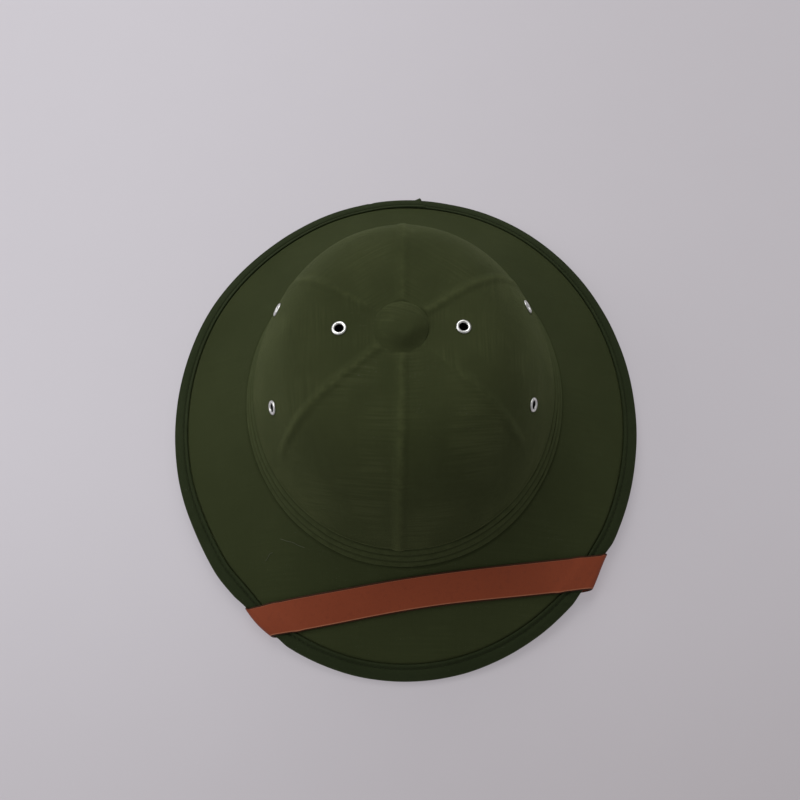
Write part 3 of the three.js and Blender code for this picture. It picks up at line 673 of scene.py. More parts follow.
seam_of, side_of, share_of, wrap_of = [], [], [], []
for number, (bearing, *_) in enumerate(SEAMS):
    following = SEAMS[(number + 1) % len(SEAMS)][0]
    wrap = 360 if following < bearing else 0
    for side in np.linspace(-0.5, 0.5, RIB_COLUMNS):
        seam_of.append(number)
        side_of.append(side)
        share_of.append(-1.0)
        wrap_of.append(0)
    width = math.radians(following + wrap - bearing) * DOME_MIDDLE - RIB_WIDTH
    between = round(width / PANEL_STEP)
    for step in range(1, between):
        seam_of.append(number)
        side_of.append(0.5)
        share_of.append(step / between)
        wrap_of.append(wrap)
seam_of, side_of, share_of, wrap_of = map(np.array, (seam_of, side_of, share_of, wrap_of))
seam_table = np.array(SEAMS, float)
columns = len(seam_of)
print("crown columns:", columns)


def seam_bearing(number, radius):
    row = seam_table[number]
    return np.radians(row[..., 0] + row[..., 1] * (radius / DOME_MIDDLE - LEAN_CENTRE))


def seam_angle(side, radius):
    reach = np.arcsin(np.minimum(1, np.abs(side * RIB_WIDTH) / radius))
    return np.sign(side) * np.minimum(WIDEST_SEAM * 2 * np.abs(side), reach)


def column_bearing(radius):
    """Bearing of each column where the crown has this radius, one row for each radius."""
    radius = np.reshape(radius, (-1, 1))
    here = seam_bearing(seam_of[None, :], radius)
    after = seam_bearing((seam_of[None, :] + 1) % len(SEAMS), radius) + np.radians(wrap_of)
    edge = seam_angle(0.5, radius)
    on_panel = blend(here + edge, after - edge, np.maximum(share_of, 0))
    return np.where(share_of < 0, here + seam_angle(side_of, radius), on_panel)


# %% Shape the crown
CROWN_ROWS, LINING_ROWS = 128, 52


def ridge_height(radius, reach):
    """Height of the ridges over the dome for each row and column."""
    shape = np.where(share_of < 0, bump(2 * side_of), 0)
    end = seam_table[seam_of, 2]
    low = 1 - smooth_step(reach, end, end + SEAM_FADE)
    near_button = smooth_step(radius, BUTTON_RADIUS - 0.3, seam_table[seam_of, 4])
    return RIB_RISE * seam_table[seam_of, 3] * shape * low * near_button


def crown_outside():
    reach = even_reaches(CROWN_ROWS, 0.03)[:, None]
    bearing = column_bearing(reach * DOME_MIDDLE)
    points = dome_point(reach, bearing)
    normal = dome_normal(points)
    radius = np.hypot(points[..., 0], points[..., 1])
    rise = ridge_height(radius, reach)
    puckers = np.exp(-(np.where(share_of < 0, 0, 1) * np.minimum(share_of, 1 - share_of) * 14) ** 2)
    swell = 0.34 * waviness(points, 0.021, 3.0) + 0.12 * waviness(points, 0.06, 11.0)
    swell += 0.1 * puckers * waviness(points, 0.19, 23.0)
    swell *= smooth_step(radius, BUTTON_RADIUS, BUTTON_RADIUS + 8)
    roll = 0.3 * bump((points[..., 2] - DOME_FOOT - 0.9) / 1.8)
    points = points + normal * (rise + swell + roll)[..., None]
    points[..., 2] = np.maximum(points[..., 2], DOME_FOOT)
    return points, bearing, rise / RIB_RISE + roll


outside, crown_bearing, crest = crown_outside()
foot_turn = turn_at(column_bearing(DOME_A)[0], FOOT_A, FOOT_B)
fold_under = [on_foot(foot_turn, -BAND_INSET - 0.05, DOME_FOOT - 0.12),
              on_foot(foot_turn, -BAND_INSET - 0.35, DOME_FOOT - 0.2),
              on_foot(foot_turn, -BAND_INSET - 0.8, DOME_FOOT - 0.12)]
skirt = [band_point(foot_turn, up, depth) for up, depth in (
    (1 + GAP / BAND_HEIGHT, CROWN_SEAT), (level_up(CROWN_SEAT), CROWN_SEAT),
    (level_up(CROWN_LINING), CROWN_LINING), (1 + GAP / BAND_HEIGHT, CROWN_LINING))]
lining_reach = even_reaches(LINING_ROWS, 0.03)[::-1][1:, None]
lining = dome_point(lining_reach, column_bearing(lining_reach * DOME_A),
                    CROWN_LINING * BAND_LEVEL, WALL)
lining[..., 2] -= 0.15 * np.abs(waviness(lining, 0.03, 5.0))
rows = np.concatenate([outside, fold_under, skirt, lining])
print("crown lattice:", rows.shape)

# %% [markdown]
# ### Threads of the panels
# Each panel was cut with its threads along its own middle line. The coordinate across is
# measured from that line and the coordinate along is measured down from the button, so the
# threads run off at the seams, as they do in a cut panel.

# %% Give the crown its threads and its holes
PANEL_GRAIN = np.array([-90, 0, 62, 117, 182, -90])
panel_right = np.where(share_of >= 0, seam_of, np.where(side_of >= 0, seam_of, (seam_of - 1) % 6))
row_bearing = np.concatenate([crown_bearing, np.repeat(crown_bearing[-1:], 7, 0),
                              column_bearing(lining_reach * DOME_A)])
row_length = measured(rows[:, 0])
from_grain = np.radians(PANEL_GRAIN[panel_right])
left_turn, right_turn = row_bearing - from_grain, np.roll(row_bearing, -1, 1) - from_grain
left = row_length[:, None, None] * np.stack([np.sin(left_turn), np.cos(left_turn)], -1)
right = row_length[:, None, None] * np.stack([np.sin(right_turn), np.cos(right_turn)], -1)
corner = [left[:-1], left[1:], right[1:], right[:-1]]
crown_threads = np.stack(corner, 2).reshape(-1, 2)
faces = lattice_faces(len(rows), columns).tolist()
points = rows.reshape(-1, 3)
top = len(points)
points = np.vstack([points, dome_point(0.0, 0.0)[None], dome_point(
    0.0, 0.0, CROWN_LINING * BAND_LEVEL, WALL)[None]])
last = (len(rows) - 1) * columns
pole_threads = []
for c in range(columns):
    faces.append([top, c, (c + 1) % columns])
    faces.append([top + 1, last + (c + 1) % columns, last + c])
    pole_threads += [[0, 0], left[0, c], right[0, c], right[-1, c], right[-1, c], left[-1, c]]
crown_threads = np.vstack([crown_threads, pole_threads])
crown_wear = np.zeros(len(points))
crown_wear[:outside.shape[0] * columns] = np.clip(crest, 0, 1).ravel()
crown = make_piece("crown_cover", points, faces, crown_threads, crown_wear)

EYELET_HOLE, EYELET_METAL, EYELET_FLANGE, EYELET_FLARE = 2.2, 0.5, 3.85, 3.4
METAL_SIDES = 40
LOWER_EYELET = (DOME_A - 16.7, 57.2 / 2)
TOP_EYELET = BUTTON_RADIUS + 17
EYELETS = {
    "eyelet_left_front": (-LOWER_EYELET[0], -LOWER_EYELET[1]),
    "eyelet_left_rear": (-LOWER_EYELET[0], LOWER_EYELET[1]),
    "eyelet_left_top": (-TOP_EYELET, 0.0),
    "eyelet_right_front": (LOWER_EYELET[0], -LOWER_EYELET[1]),
    "eyelet_right_rear": (LOWER_EYELET[0], LOWER_EYELET[1]),
    "eyelet_right_top": (TOP_EYELET, 0.0),
}
seats = {}
for name, (x, y) in EYELETS.items():
    seat = dome_at(x, y)
    seats[name] = (seat, dome_normal(seat))
bored(crown, [plug(seat, axis, EYELET_HOLE + EYELET_METAL + GAP, -9, 6)
              for seat, axis in seats.values()])
finish_piece(crown, crown_cotton, "crown_cloth", "crown_shell")

# %% [markdown]
# ## Eyelets
# An eyelet is a short tube with a rolled flange outside and a flared end inside, pressed
# through the wall. A torus would look like a washer, so the true section is turned: a low
# rounded crest that dives into the hole. The hole stays open, and the dark hollow of the
# crown shows through it.

# %% Turn the eyelets


def wall_along(seat, axis):
    inset = CROWN_LINING * BAND_LEVEL
    depth = 0.05
    while True:
        p = seat - axis * depth
        reach = math.hypot(p[0] / (DOME_A - inset), p[1] / (DOME_B - inset))
        if p[2] < DOME_FOOT + (DOME_RISE - WALL) * (1 - reach ** FULLNESS):
            return depth
        depth += 0.05


def eyelet_profile(wall):
    bottom = -wall - 2 * GAP - EYELET_METAL
    outer, hole, metal_at = EYELET_FLANGE, EYELET_HOLE, EYELET_HOLE + EYELET_METAL
    section = [(hole, bottom + 0.25), (hole + 0.08, bottom + 0.08), (hole + 0.3, bottom),
               (EYELET_FLARE - 0.15, bottom), (EYELET_FLARE, bottom + 0.12),
               (EYELET_FLARE, bottom + 0.38), (EYELET_FLARE - 0.15, bottom + EYELET_METAL),
               (metal_at, bottom + EYELET_METAL), (metal_at, GAP * 0.3),
               (outer - 0.25, GAP * 0.3)]
    crest = (outer + hole) / 2
    for step in range(13):
        angle = -0.35 + (math.pi + 0.5) * step / 12
        radius = crest + (outer - hole) / 2 * math.cos(angle)
        section.append((radius, GAP * 0.6 + 0.72 * max(math.sin(angle), -0.25)))
    section += [(hole, GAP * 0.2), (hole, bottom + 0.6)]
    return section


for name, (seat, axis) in seats.items():
    profile = eyelet_profile(wall_along(seat, axis))
    points = turned(profile, METAL_SIDES, seat, axis)
    # Painted shade: points inside the bore are marked so that the metal is painted nearly black there.
    painted_bore_shade = [1.0 if r < EYELET_HOLE + 0.25 and h < 0.25 else 0.0 for r, h in profile]
    eyelet = make_piece(name + "_ring", points, lattice_faces(len(profile), METAL_SIDES, True),
                        wear_and_painted_light=np.repeat(painted_bore_shade, METAL_SIDES))
    finish_piece(eyelet, metal, "eyelet_metal", name)

# %% [markdown]
# ## Button
# The button on top is a padded mound under a round of the same cloth. Behind and on the
# right its edge is full and crisp; in front and on the left the cloth is drawn down
# softly. A squashed sphere would be alike all round, so two sections are drawn, a full one
# and a soft one, and the height blends from one to the other.

# %% Cover the button
BUTTON_COLUMNS, MOUND_ROWS, EDGE_ROWS, BUTTON_POLE = 96, 12, 19, 0.8
RUBBED_FROM, RUBBED_TO, RUBBED = 9, 16, 0.3
BUTTON_GRAIN = np.array([[0.94, 0.34], [-0.34, 0.94]])
BUTTON_HIGH, BUTTON_LIP, LIP_ROUND, SHOULDER = 5.4, 0.7, 0.5, 11
CRISP_TOWARDS, STEEP_TOWARDS = math.radians(58), math.radians(-62)
SOFT_EDGE, CRISP_EDGE, UNDER_BUTTON = 0.03, 0.1, 0.015


def button_top(radius, bearing):
    """Height of the button over the crown: a full edge behind and on the right, a soft slope
    in front and on the left, which is steepest at its foot in front on the right."""
    crisp = smooth_step(np.cos(bearing - CRISP_TOWARDS), -0.15, 0.5)
    tucked = np.clip((radius - BUTTON_RADIUS + LIP_ROUND) / LIP_ROUND, 0, 1)
    full = (BUTTON_HIGH - BUTTON_LIP) * (1 - (radius / BUTTON_RADIUS) ** 3.2) ** 0.85
    full = full + (BUTTON_LIP - CRISP_EDGE) * np.sqrt(1 - tucked ** 2)
    steep = np.clip(np.cos(bearing - STEEP_TOWARDS), 0, 1)
    soft = (BUTTON_HIGH - CRISP_EDGE) * (1 - smooth_step(radius, 3 + 3 * steep, BUTTON_RADIUS + 0.4))
    return blend(SOFT_EDGE + soft, CRISP_EDGE + full, crisp)


ring = np.linspace(0, 2 * np.pi, BUTTON_COLUMNS, endpoint=False)
top_radii = np.r_[np.linspace(BUTTON_POLE, SHOULDER, MOUND_ROWS),
                  np.linspace(SHOULDER, BUTTON_RADIUS, EDGE_ROWS)[1:]]
rows = []
for radius in top_radii:
    x, y = radius * np.cos(ring), radius * np.sin(ring)
    rows.append(np.stack([x, y, dome_at(x, y)[:, 2] + button_top(radius, ring)], -1))
for radius in (BUTTON_RADIUS - 0.2, BUTTON_RADIUS - 1.2, 6):
    x, y = radius * np.cos(ring), radius * np.sin(ring)
    rows.append(np.stack([x, y, dome_at(x, y)[:, 2] + UNDER_BUTTON], -1))
rows = np.array(rows)
dent = smooth_step(BUTTON_RADIUS - np.r_[top_radii, [BUTTON_RADIUS] * 3], 0, 3)
rows[..., 2] += 0.14 * waviness(rows, 0.16, 31.0) * dent[:, None]
faces = lattice_faces(len(rows), BUTTON_COLUMNS).tolist()
points = rows.reshape(-1, 3)
pole = dome_at(0.0, 0.0)
points = np.vstack([points, pole + [0, 0, BUTTON_HIGH + 0.02], pole + [0, 0, UNDER_BUTTON]])
last = (len(rows) - 1) * BUTTON_COLUMNS
for c in range(BUTTON_COLUMNS):
    after = (c + 1) % BUTTON_COLUMNS
    faces += [[len(points) - 2, c, after], [len(points) - 1, last + after, last + c]]
threads = np.array([points[i][:2] for face in faces for i in face]) @ BUTTON_GRAIN
wear_and_painted_light = np.zeros(len(points))
wear_and_painted_light[RUBBED_FROM * BUTTON_COLUMNS:RUBBED_TO * BUTTON_COLUMNS] = RUBBED
button = make_piece("button_cover", points, faces, threads, wear_and_painted_light)
finish_piece(button, crown_cotton, "crown_cloth", "top_button")

# %% [markdown]
# ## Band
# A strip of cloth is folded into three pleats and wound round the foot of the crown. Each
# pleat laps over the one below, so its lower edge throws a thin dark line. The folds could
# be one bump pattern, but the lines have to deepen and waver as the light goes round, so
# each pleat has a rounded face, a rolled edge and a small tuck.

# %% Fold the band
BAND_COLUMNS = 420
turns = np.linspace(0, 2 * np.pi, BAND_COLUMNS, endpoint=False)
ring_points = on_foot(turns, 0, 0)
PLEAT_PROFILE = [(0.0, 1.25), (-0.03, 0.55), (0.0, 0.05), (0.06, -0.25), (0.16, -0.42), (0.32, -0.42),
                 (0.5, -0.28), (0.66, -0.05), (0.8, 0.22), (0.9, 0.6), (1.0, 1.25)]
section = []
for pleat in range(PLEATS):
    for up, depth in PLEAT_PROFILE:
        lifted = up if pleat or up > 0.1 else 0.1 + up * 0.5
        section.append((pleat, (pleat + lifted) / PLEATS, depth))
rows = []
for pleat, up, depth in section:
    fold = pleat + (depth > 0 and up * PLEATS - pleat > 0.5)
    wander = 0.06 * waviness(ring_points, 0.028, 40.0 + 7 * fold) * (0.02 < up < 0.98)
    slack = 0.66 + 1.0 * waviness(ring_points, 0.02, 50.0 + 9 * fold)
    sink = 0.14 * waviness(ring_points, 0.05, 80.0 + 3 * pleat)
    depth = depth * np.clip(slack, 0.25, 1) if depth > 0 else np.full(BAND_COLUMNS, depth)
    rows.append(band_point(turns, np.maximum(up + wander, 0.004), np.maximum(depth + sink, -0.45)))
rows.append(band_point(turns, 1.0, BAND_DEPTH))
rows.append(band_point(turns, level_up(BAND_DEPTH), BAND_DEPTH))
rows = np.array(rows)
around = measured(ring_points)
around = np.r_[around, around[-1] + around[1]]
across = measured(rows[:, 0])
across = np.r_[across, across[-1] + 1.0]
threads = grid_threads(around[None, :], across[:, None])
wear_and_painted_light = np.array([0.7 if (depth < 0) else 0.0 for _, _, depth in section] + [0, 0])
wear_and_painted_light = np.repeat(wear_and_painted_light[:, None], BAND_COLUMNS, 1)
band = make_piece("band_pleats", rows.reshape(-1, 3),
                  lattice_faces(len(rows), BAND_COLUMNS, True), threads, wear_and_painted_light)
finish_piece(band, brim_cotton, "binding_cloth", "crown_band")

# %% [markdown]
# ## Brim
# The brim is board under tightly glued cloth, so it has no folds of its own: only the slow
# swell of the board. Its upper and lower faces and the ledge inside the crown are one
# closed body. Its threads run straight across the hat, as the cloth was laid in one piece.

# %% Cover the brim
BRIM_COLUMNS, BRIM_ROWS, CREASE, BRIM_TUCK, TUCK_REACH = 360, 34, 0.75, 1.1, 1.3
turns = np.linspace(0, 2 * np.pi, BRIM_COLUMNS, endpoint=False)
crease = CREASE * (1 - 0.5 * np.clip(-np.sin(turns), 0, 1) ** 3)
begin = binding_share(turns) - crease / (RIM_A - FOOT_A)
faces_up, faces_down = [], []
foot_line = brim_middle(turns, 0)
tuck = BRIM_TUCK * (0.8 + 0.5 * waviness(foot_line, 0.025, 63.0))
for step in np.r_[0, 0.012, 0.024, 0.037, 0.05, np.linspace(0.07, 1, BRIM_ROWS)]:
    middle = brim_middle(turns, step * begin)
    quiet = bump(2 * step - 1) ** 0.5
    swell = (0.3 * waviness(middle, 0.024, 61.0) + 0.08 * waviness(middle, 0.09, 67.0)) * quiet
    from_foot = np.linalg.norm(middle - foot_line, axis=1)
    dip = tuck * np.exp(-(from_foot / TUCK_REACH) ** 2)
    faces_up.append(raised(middle, BOARD / 2 + np.minimum(swell, 0.2) - dip))
    faces_down.append(raised(middle, -BOARD / 2 + np.maximum(swell, -0.2)))
ledge = on_foot(turns, -LEDGE, FOOT_HEIGHT - GAP)
thin = EDGE_BOARD / 2
rows = [ledge, on_foot(turns, -LEDGE / 2, FOOT_HEIGHT - GAP), *faces_up,
        raised(brim_middle(turns, begin), thin), raised(brim_middle(turns, 1), thin),
        raised(brim_middle(turns, 1), -thin), raised(brim_middle(turns, begin), -thin),
        *faces_down[::-1], on_foot(turns, -LEDGE / 2, FOOT_HEIGHT - GAP - BOARD),
        raised(ledge, -BOARD + 0.3), on_foot(turns, -LEDGE - 0.25, FOOT_HEIGHT - GAP - BOARD / 2)]
rows = np.array(rows)
closed = np.concatenate([rows, rows[:1]])
closed = np.concatenate([closed, closed[:, :1]], 1)
brim = make_piece("brim_cover", rows.reshape(-1, 3), lattice_faces(len(rows), BRIM_COLUMNS, True),
                  grid_threads(closed[..., 0], closed[..., 1]), np.zeros(rows.shape[:2]))
finish_piece(brim, brim_cotton, "brim_cloth", "brim")

# %% [markdown]
# ## Binding
# A strip of cloth is folded round the rim and sewn through. Seen from above it has a
# folded inner edge, a soft ridge, a row of stitches sunk into the cloth, and a padded roll
# out to the rim. Each stitch pulls a small dimple, the strap squeezes the roll where it
# folds round it, and the strip's two ends meet at the back, where a corner sticks out.

# %% Shape the section of the binding
STITCH_PITCH, STITCH_LENGTH, STITCH_INSET = 2.9, 2.0, 6.1
PERIMETER = float(np.linalg.norm(np.diff(on_rim(np.linspace(0, 2 * np.pi, 2000), 0, 0), axis=0),
                                 axis=1).sum())
STITCHES = round(PERIMETER / STITCH_PITCH)
fine = np.linspace(0, 2 * np.pi, 6001)
run = measured(on_rim(fine, 0, 0))


def turn_after(distance):
    return np.interp(distance, run / run[-1] * PERIMETER, fine)


def leaf_height(inward, phase):
    """How far the upper leaf swells over its flat height, at a distance in from the rim."""
    away = inward - STITCH_INSET
    pinch = np.where(np.abs((phase + 0.5) % 1 - 0.5) < 0.36, 1.0, 0.45)
    groove = -0.52 * np.exp(-(away / 0.6) ** 2) * (0.7 + 0.3 * pinch)
    ridge = 0.34 * np.exp(-((inward - 7.7) / 0.55) ** 2)
    roll = 0.3 * np.exp(-((inward - 3.4) / 1.9) ** 2)
    return groove + ridge + roll


BINDING_COLUMNS = 4 * STITCHES
distance = np.linspace(0, PERIMETER, BINDING_COLUMNS, endpoint=False)
turns = turn_after(distance)
phase = distance / PERIMETER * STITCHES
print("binding:", round(PERIMETER), "mm round,", STITCHES, "stitches")

# %% Wrap the binding round the rim
TAB_TURN, TAB_SLOPE, TAB_DROP, TAB_REACH = math.radians(85.4), 3.6, 0.7, 2.5
LAP_LENGTH, LAP_RISE, LAP_SLANT, LAP_SWELL = 33, 0.8, 0.47, 0.3
SQUEEZE_LEFT, SQUEEZE_RIGHT, SQUEEZE_HALF, SQUEEZE_FADE = 1.1, 0.85, 12.5, 11
share_in = binding_share(turns)
far, edge = brim_middle(turns, share_in), brim_middle(turns, 1)
floor_z = sole_height(turns)
nose = RIM_MIDDLE + floor_z
ripple = 0.1 * waviness(on_rim(turns, 0, 0), 0.11, 71.0)
past_tab = (turns - TAB_TURN) * RIM_A
lap = np.where(past_tab > -9, np.clip(1 - past_tab / LAP_LENGTH, 0, 1), 0)
tab = TAB_REACH * np.maximum(0, 1 - np.where(past_tab > 0, past_tab / TAB_SLOPE, -past_tab / TAB_DROP))
kink = 0.5 * bump((past_tab - LAP_LENGTH) / 3)
out = tab + LAP_SWELL * lap * (past_tab > 0) - kink + 0.12 * waviness(on_rim(turns, 0, 0), 0.05, 73.0)
for bearing, squeeze in ((STRAP_LEFT, SQUEEZE_LEFT), (STRAP_RIGHT, SQUEEZE_RIGHT)):
    from_strap = np.abs((turns - turn_at(bearing, RIM_A, RIM_B) + np.pi) % (2 * np.pi) - np.pi) * RIM_B
    out -= squeeze * (1 - smooth_step(from_strap, SQUEEZE_HALF, SQUEEZE_HALF + SQUEEZE_FADE))


def leaf(share, height):
    """A line of the upper or lower leaf: share 0 at its folded inner edge, 1 at the board's."""
    return raised(blend(far, edge, share), height)


def inward_at(share):
    return BINDING_REACH - share * (BINDING_REACH - BOARD_INSET)


rows, wear_and_painted_light = [], []
for share, drop in ((0.0, 0.55), (-0.012, 0.3), (0.0, 0.1)):
    rows.append(leaf(share, LEAF_OUTER - drop))
    wear_and_painted_light.append(0.5)
for share in np.linspace(0.03, 0.97, 26):
    inward = inward_at(share)
    step = LAP_RISE * lap * smooth_step(past_tab + LAP_SLANT * inward, -0.4, 0.4)
    rows.append(leaf(share, LEAF_OUTER + leaf_height(inward, phase) + ripple * share + step))
    wear_and_painted_light.append(float(0.5 * np.exp(-((inward - 7.7) / 0.6) ** 2)))
for angle in np.linspace(75, -75, 9):
    reach = -BINDING_CLOTH - 0.05 + (BINDING_CLOTH + 0.05) * math.cos(math.radians(angle))
    rise = (LEAF_OUTER + 0.02) * math.sin(math.radians(angle))
    rows.append(on_rim(turns, reach + out * math.cos(math.radians(angle)) + 0.03, nose + rise))
    wear_and_painted_light.append(0.85 if abs(angle) < 50 else 0.4)
rows += [on_rim(turns, -BINDING_CLOTH - 0.3, floor_z + 0.02),
         on_rim(turns, -BINDING_CLOTH - SOLE, floor_z + 0.02)]
wear_and_painted_light += [0.2, 0.2]
for share in np.linspace(0.93, 0.0, 12):
    inward = inward_at(share)
    low_line = blend(far, edge, share)
    groove = 0.28 * np.exp(-((inward - STITCH_INSET) / 0.6) ** 2)
    level = low_line[:, 2] - LEAF_OUTER + groove
    low_line[:, 2] = np.maximum(level, floor_z + 0.02) if share > 0.6 else level
    rows.append(low_line)
    wear_and_painted_light.append(0.0)
rows += [leaf(-0.01, -LEAF_OUTER + 0.4), leaf(0.0, -LEAF_INNER),
         on_rim(turns, -BINDING_CLOTH, nose - LEAF_INNER),
         on_rim(turns, -BINDING_CLOTH, nose + LEAF_INNER), leaf(0.0, LEAF_INNER)]
wear_and_painted_light += [0, 0, 0, 0, 0]
rows = np.array(rows)
across = measured(rows[:, 0])
across = np.r_[across, across[-1] + 1.0][:, None]
along = np.r_[distance, PERIMETER][None, :]
bias = math.sqrt(0.5)
threads = grid_threads((along + across) * bias, (along - across) * bias)
wear_and_painted_light = np.repeat(np.array(wear_and_painted_light)[:, None], BINDING_COLUMNS, 1)
binding = make_piece("binding_strip", rows.reshape(-1, 3),
                     lattice_faces(len(rows), BINDING_COLUMNS, True), threads, wear_and_painted_light)
finish_piece(binding, trim_cotton, "binding_cloth", "rim_binding")

# %% [markdown]
# ### Stitches
# The thread shows as a row of short dashes that dip into the cloth at both ends. A dashed
# texture would lie flat, so each stitch is a bent tube, thinner towards its ends. The same
# row runs under the brim, since the needle goes through both leaves.

# %% Sew the binding
THREAD_RADIUS, STITCH_RINGS, STITCH_SIDES = 0.2, 7, 8


def stitch_row(upper):
    share = (BINDING_REACH - STITCH_INSET) / (BINDING_REACH - BOARD_INSET)
    points, faces = [], []
    for number in range(STITCHES):
        middle = (number + 0.5) / STITCHES * PERIMETER
        steps = np.linspace(-0.5, 0.5, STITCH_RINGS)
        t = turn_after(middle + steps * STITCH_LENGTH)
        line = blend(brim_middle(t, binding_share(t)), brim_middle(t, 1), share)
        line[:, 2] += (1 if upper else -1) * (LEAF_OUTER - 0.3 + 0.3 * np.cos(steps * np.pi))
        along = line[-1] - line[0]
        along /= np.linalg.norm(along)
        side = np.cross(along, [0, 0, 1])
        side /= np.linalg.norm(side)
        up = np.cross(side, along)
        begin = len(points)
        for step, centre in zip(steps, line):
            radius = THREAD_RADIUS * math.sqrt(max(0.05, 1 - (2 * step) ** 2 * 0.95))
            for k in range(STITCH_SIDES):
                angle = 2 * math.pi * k / STITCH_SIDES
                points.append(centre + radius * (math.cos(angle) * side + math.sin(angle) * up))
        faces += (lattice_faces(STITCH_RINGS, STITCH_SIDES) + begin).tolist()
        last = begin + (STITCH_RINGS - 1) * STITCH_SIDES
        faces += end_faces(begin, last, STITCH_SIDES)
    return points, faces


upper_points, upper_faces = stitch_row(True)
lower_points, lower_faces = stitch_row(False)
faces = upper_faces + [[i + len(upper_points) for i in face] for face in lower_faces]
stitches = make_piece("binding_stitches", np.array(upper_points + lower_points), faces)
finish_piece(stitches, thread, "binding_cloth")

# %% [markdown]
# ## Chin strap
# The strap is a flat leather band that lies across the front of the brim, folds round the
# rim at both sides, runs back under the brim and ends in tabs that are riveted inside the
# crown. Flat leather bends but doesn't crumple, so it is drawn directly: lines across it
# follow the brim's surface at a small clearance, and its edges are rounded. At the left
# its rear corner is nipped and held to the rim; at the right its front corner stands off.

# %% The way that the strap takes
STRAP_WIDTH, STRAP_LEATHER, STRAP_BOW = 19.4, 1.6, 1.5
ANCHOR_LEAD = math.radians(30)
STRAP_CLEAR = 1.6 * GAP
FOLD_INSET, FOLD_MIDDLE = BOARD_INSET, BINDING_TOP / 2
FOLD_HALF = BINDING_TOP / 2 + GAP
FOLD_REACH, FOLD_SKIVED, FOLD_SLACK, FOLD_HELD = FOLD_INSET - 0.5, 0.6, 2.7, 0.8
CLIMB = 0.1


def brim_place(x, y):
    """Share and turn of the brim under points seen from above."""
    x, y = np.broadcast_arrays(np.asarray(x, float), y)
    low, high = np.zeros(x.shape), np.full(x.shape, 1.2)
    t = np.arctan2(y, x)
    for _ in range(30):
        share = (low + high) / 2
        a, b = brim_axes(t, share)
        outside_it = np.hypot(x / a, y / b) > 1
        low, high = np.where(outside_it, share, low), np.where(outside_it, high, share)
        t = np.arctan2(y / b, x / a)
    return low, t


def proud_at(t, share):
    begin = binding_share(t)
    return BINDING_PROUD * smooth_step(share, begin - CLIMB, begin)


def strap_rest(x, y):
    share, t = brim_place(x, y)
    top = brim_middle(t, np.minimum(share, 1))[..., 2] + BOARD / 2
    return top + proud_at(t, share) + STRAP_CLEAR


def cross_fold(start, direction):
    a, b = RIM_A - FOLD_INSET, RIM_B - FOLD_INSET
    p = direction[0] ** 2 / a ** 2 + direction[1] ** 2 / b ** 2
    q = 2 * start[0] * direction[0] / a ** 2 + 2 * start[1] * direction[1] / b ** 2
    r = start[0] ** 2 / a ** 2 + start[1] ** 2 / b ** 2 - 1
    return start + direction * (-q + math.sqrt(q * q - 4 * p * r)) / (2 * p)


left_end = on_rim(turn_at(STRAP_LEFT, RIM_A, RIM_B), -FOLD_INSET, 0)[:2]
right_end = on_rim(turn_at(STRAP_RIGHT, RIM_A, RIM_B), -FOLD_INSET, 0)[:2]
strap_along = (right_end - left_end) / np.linalg.norm(right_end - left_end)
strap_across = np.array([-strap_along[1], strap_along[0]])
strap_centre = (left_end + right_end) / 2


def plan_half(place):
    """Half of the strap's width as seen from above: less where the brim is steep across it."""
    ahead, behind = place + strap_across, place - strap_across
    slope = float(strap_rest(*ahead) - strap_rest(*behind)) / 2
    return STRAP_WIDTH / 2 / math.hypot(1, slope)


print("strap is", round(2 * plan_half(strap_centre), 1), "mm wide from above in the middle,",
      round(2 * plan_half(left_end * 0.93), 1), "at its left end")

# %% Lines across the strap
ACROSS = np.array([-1, -0.93, -0.75, -0.5, -0.25, 0, 0.25, 0.5, 0.75, 0.93, 1])
CENTRE = len(ACROSS) // 2
TOP_STEPS, FOLD_STEPS, UNDER_STEPS, NEAR_FOLD = 110, 12, 30, 0.07
NIP, NIP_REACH = 1.35, 0.15
half_left, half_right = (plan_half(blend(end, strap_centre, NEAR_FOLD))
                         for end in (left_end, right_end))
full_left = np.array([cross_fold(strap_centre + a * half_left * strap_across, -strap_along)
                      for a in ACROSS])
nipped = NIP * np.maximum(ACROSS, 0) ** 2
fold_left = np.array([cross_fold(strap_centre + (a * half_left - nip) * strap_across, -strap_along)
                      for a, nip in zip(ACROSS, nipped)])
fold_right = np.array([cross_fold(strap_centre + a * half_right * strap_across, strap_along)
                       for a in ACROSS])


def top_lines():
    for way in np.linspace(0, 1, TOP_STEPS + 1)[1:-1]:
        along = blend(left_end, right_end, np.clip(way, NEAR_FOLD / 2, 1 - NEAR_FOLD / 2))
        extra = plan_half(along - strap_across * STRAP_BOW) - blend(half_left, half_right, way)
        nip = nipped * (1 - smooth_step(way, -0.02, NIP_REACH))
        place = (blend(full_left, fold_right, way) + np.outer(ACROSS * extra - nip, strap_across)
                 - strap_across * STRAP_BOW * 4 * way * (1 - way))
        z = strap_rest(place[:, 0], place[:, 1])
        inner = np.column_stack([place, z])
        yield inner, inner + [0, 0, STRAP_LEATHER]


def fold_turn(places):
    return np.arctan2(places[:, 1] / (RIM_B - FOLD_INSET), places[:, 0] / (RIM_A - FOLD_INSET))


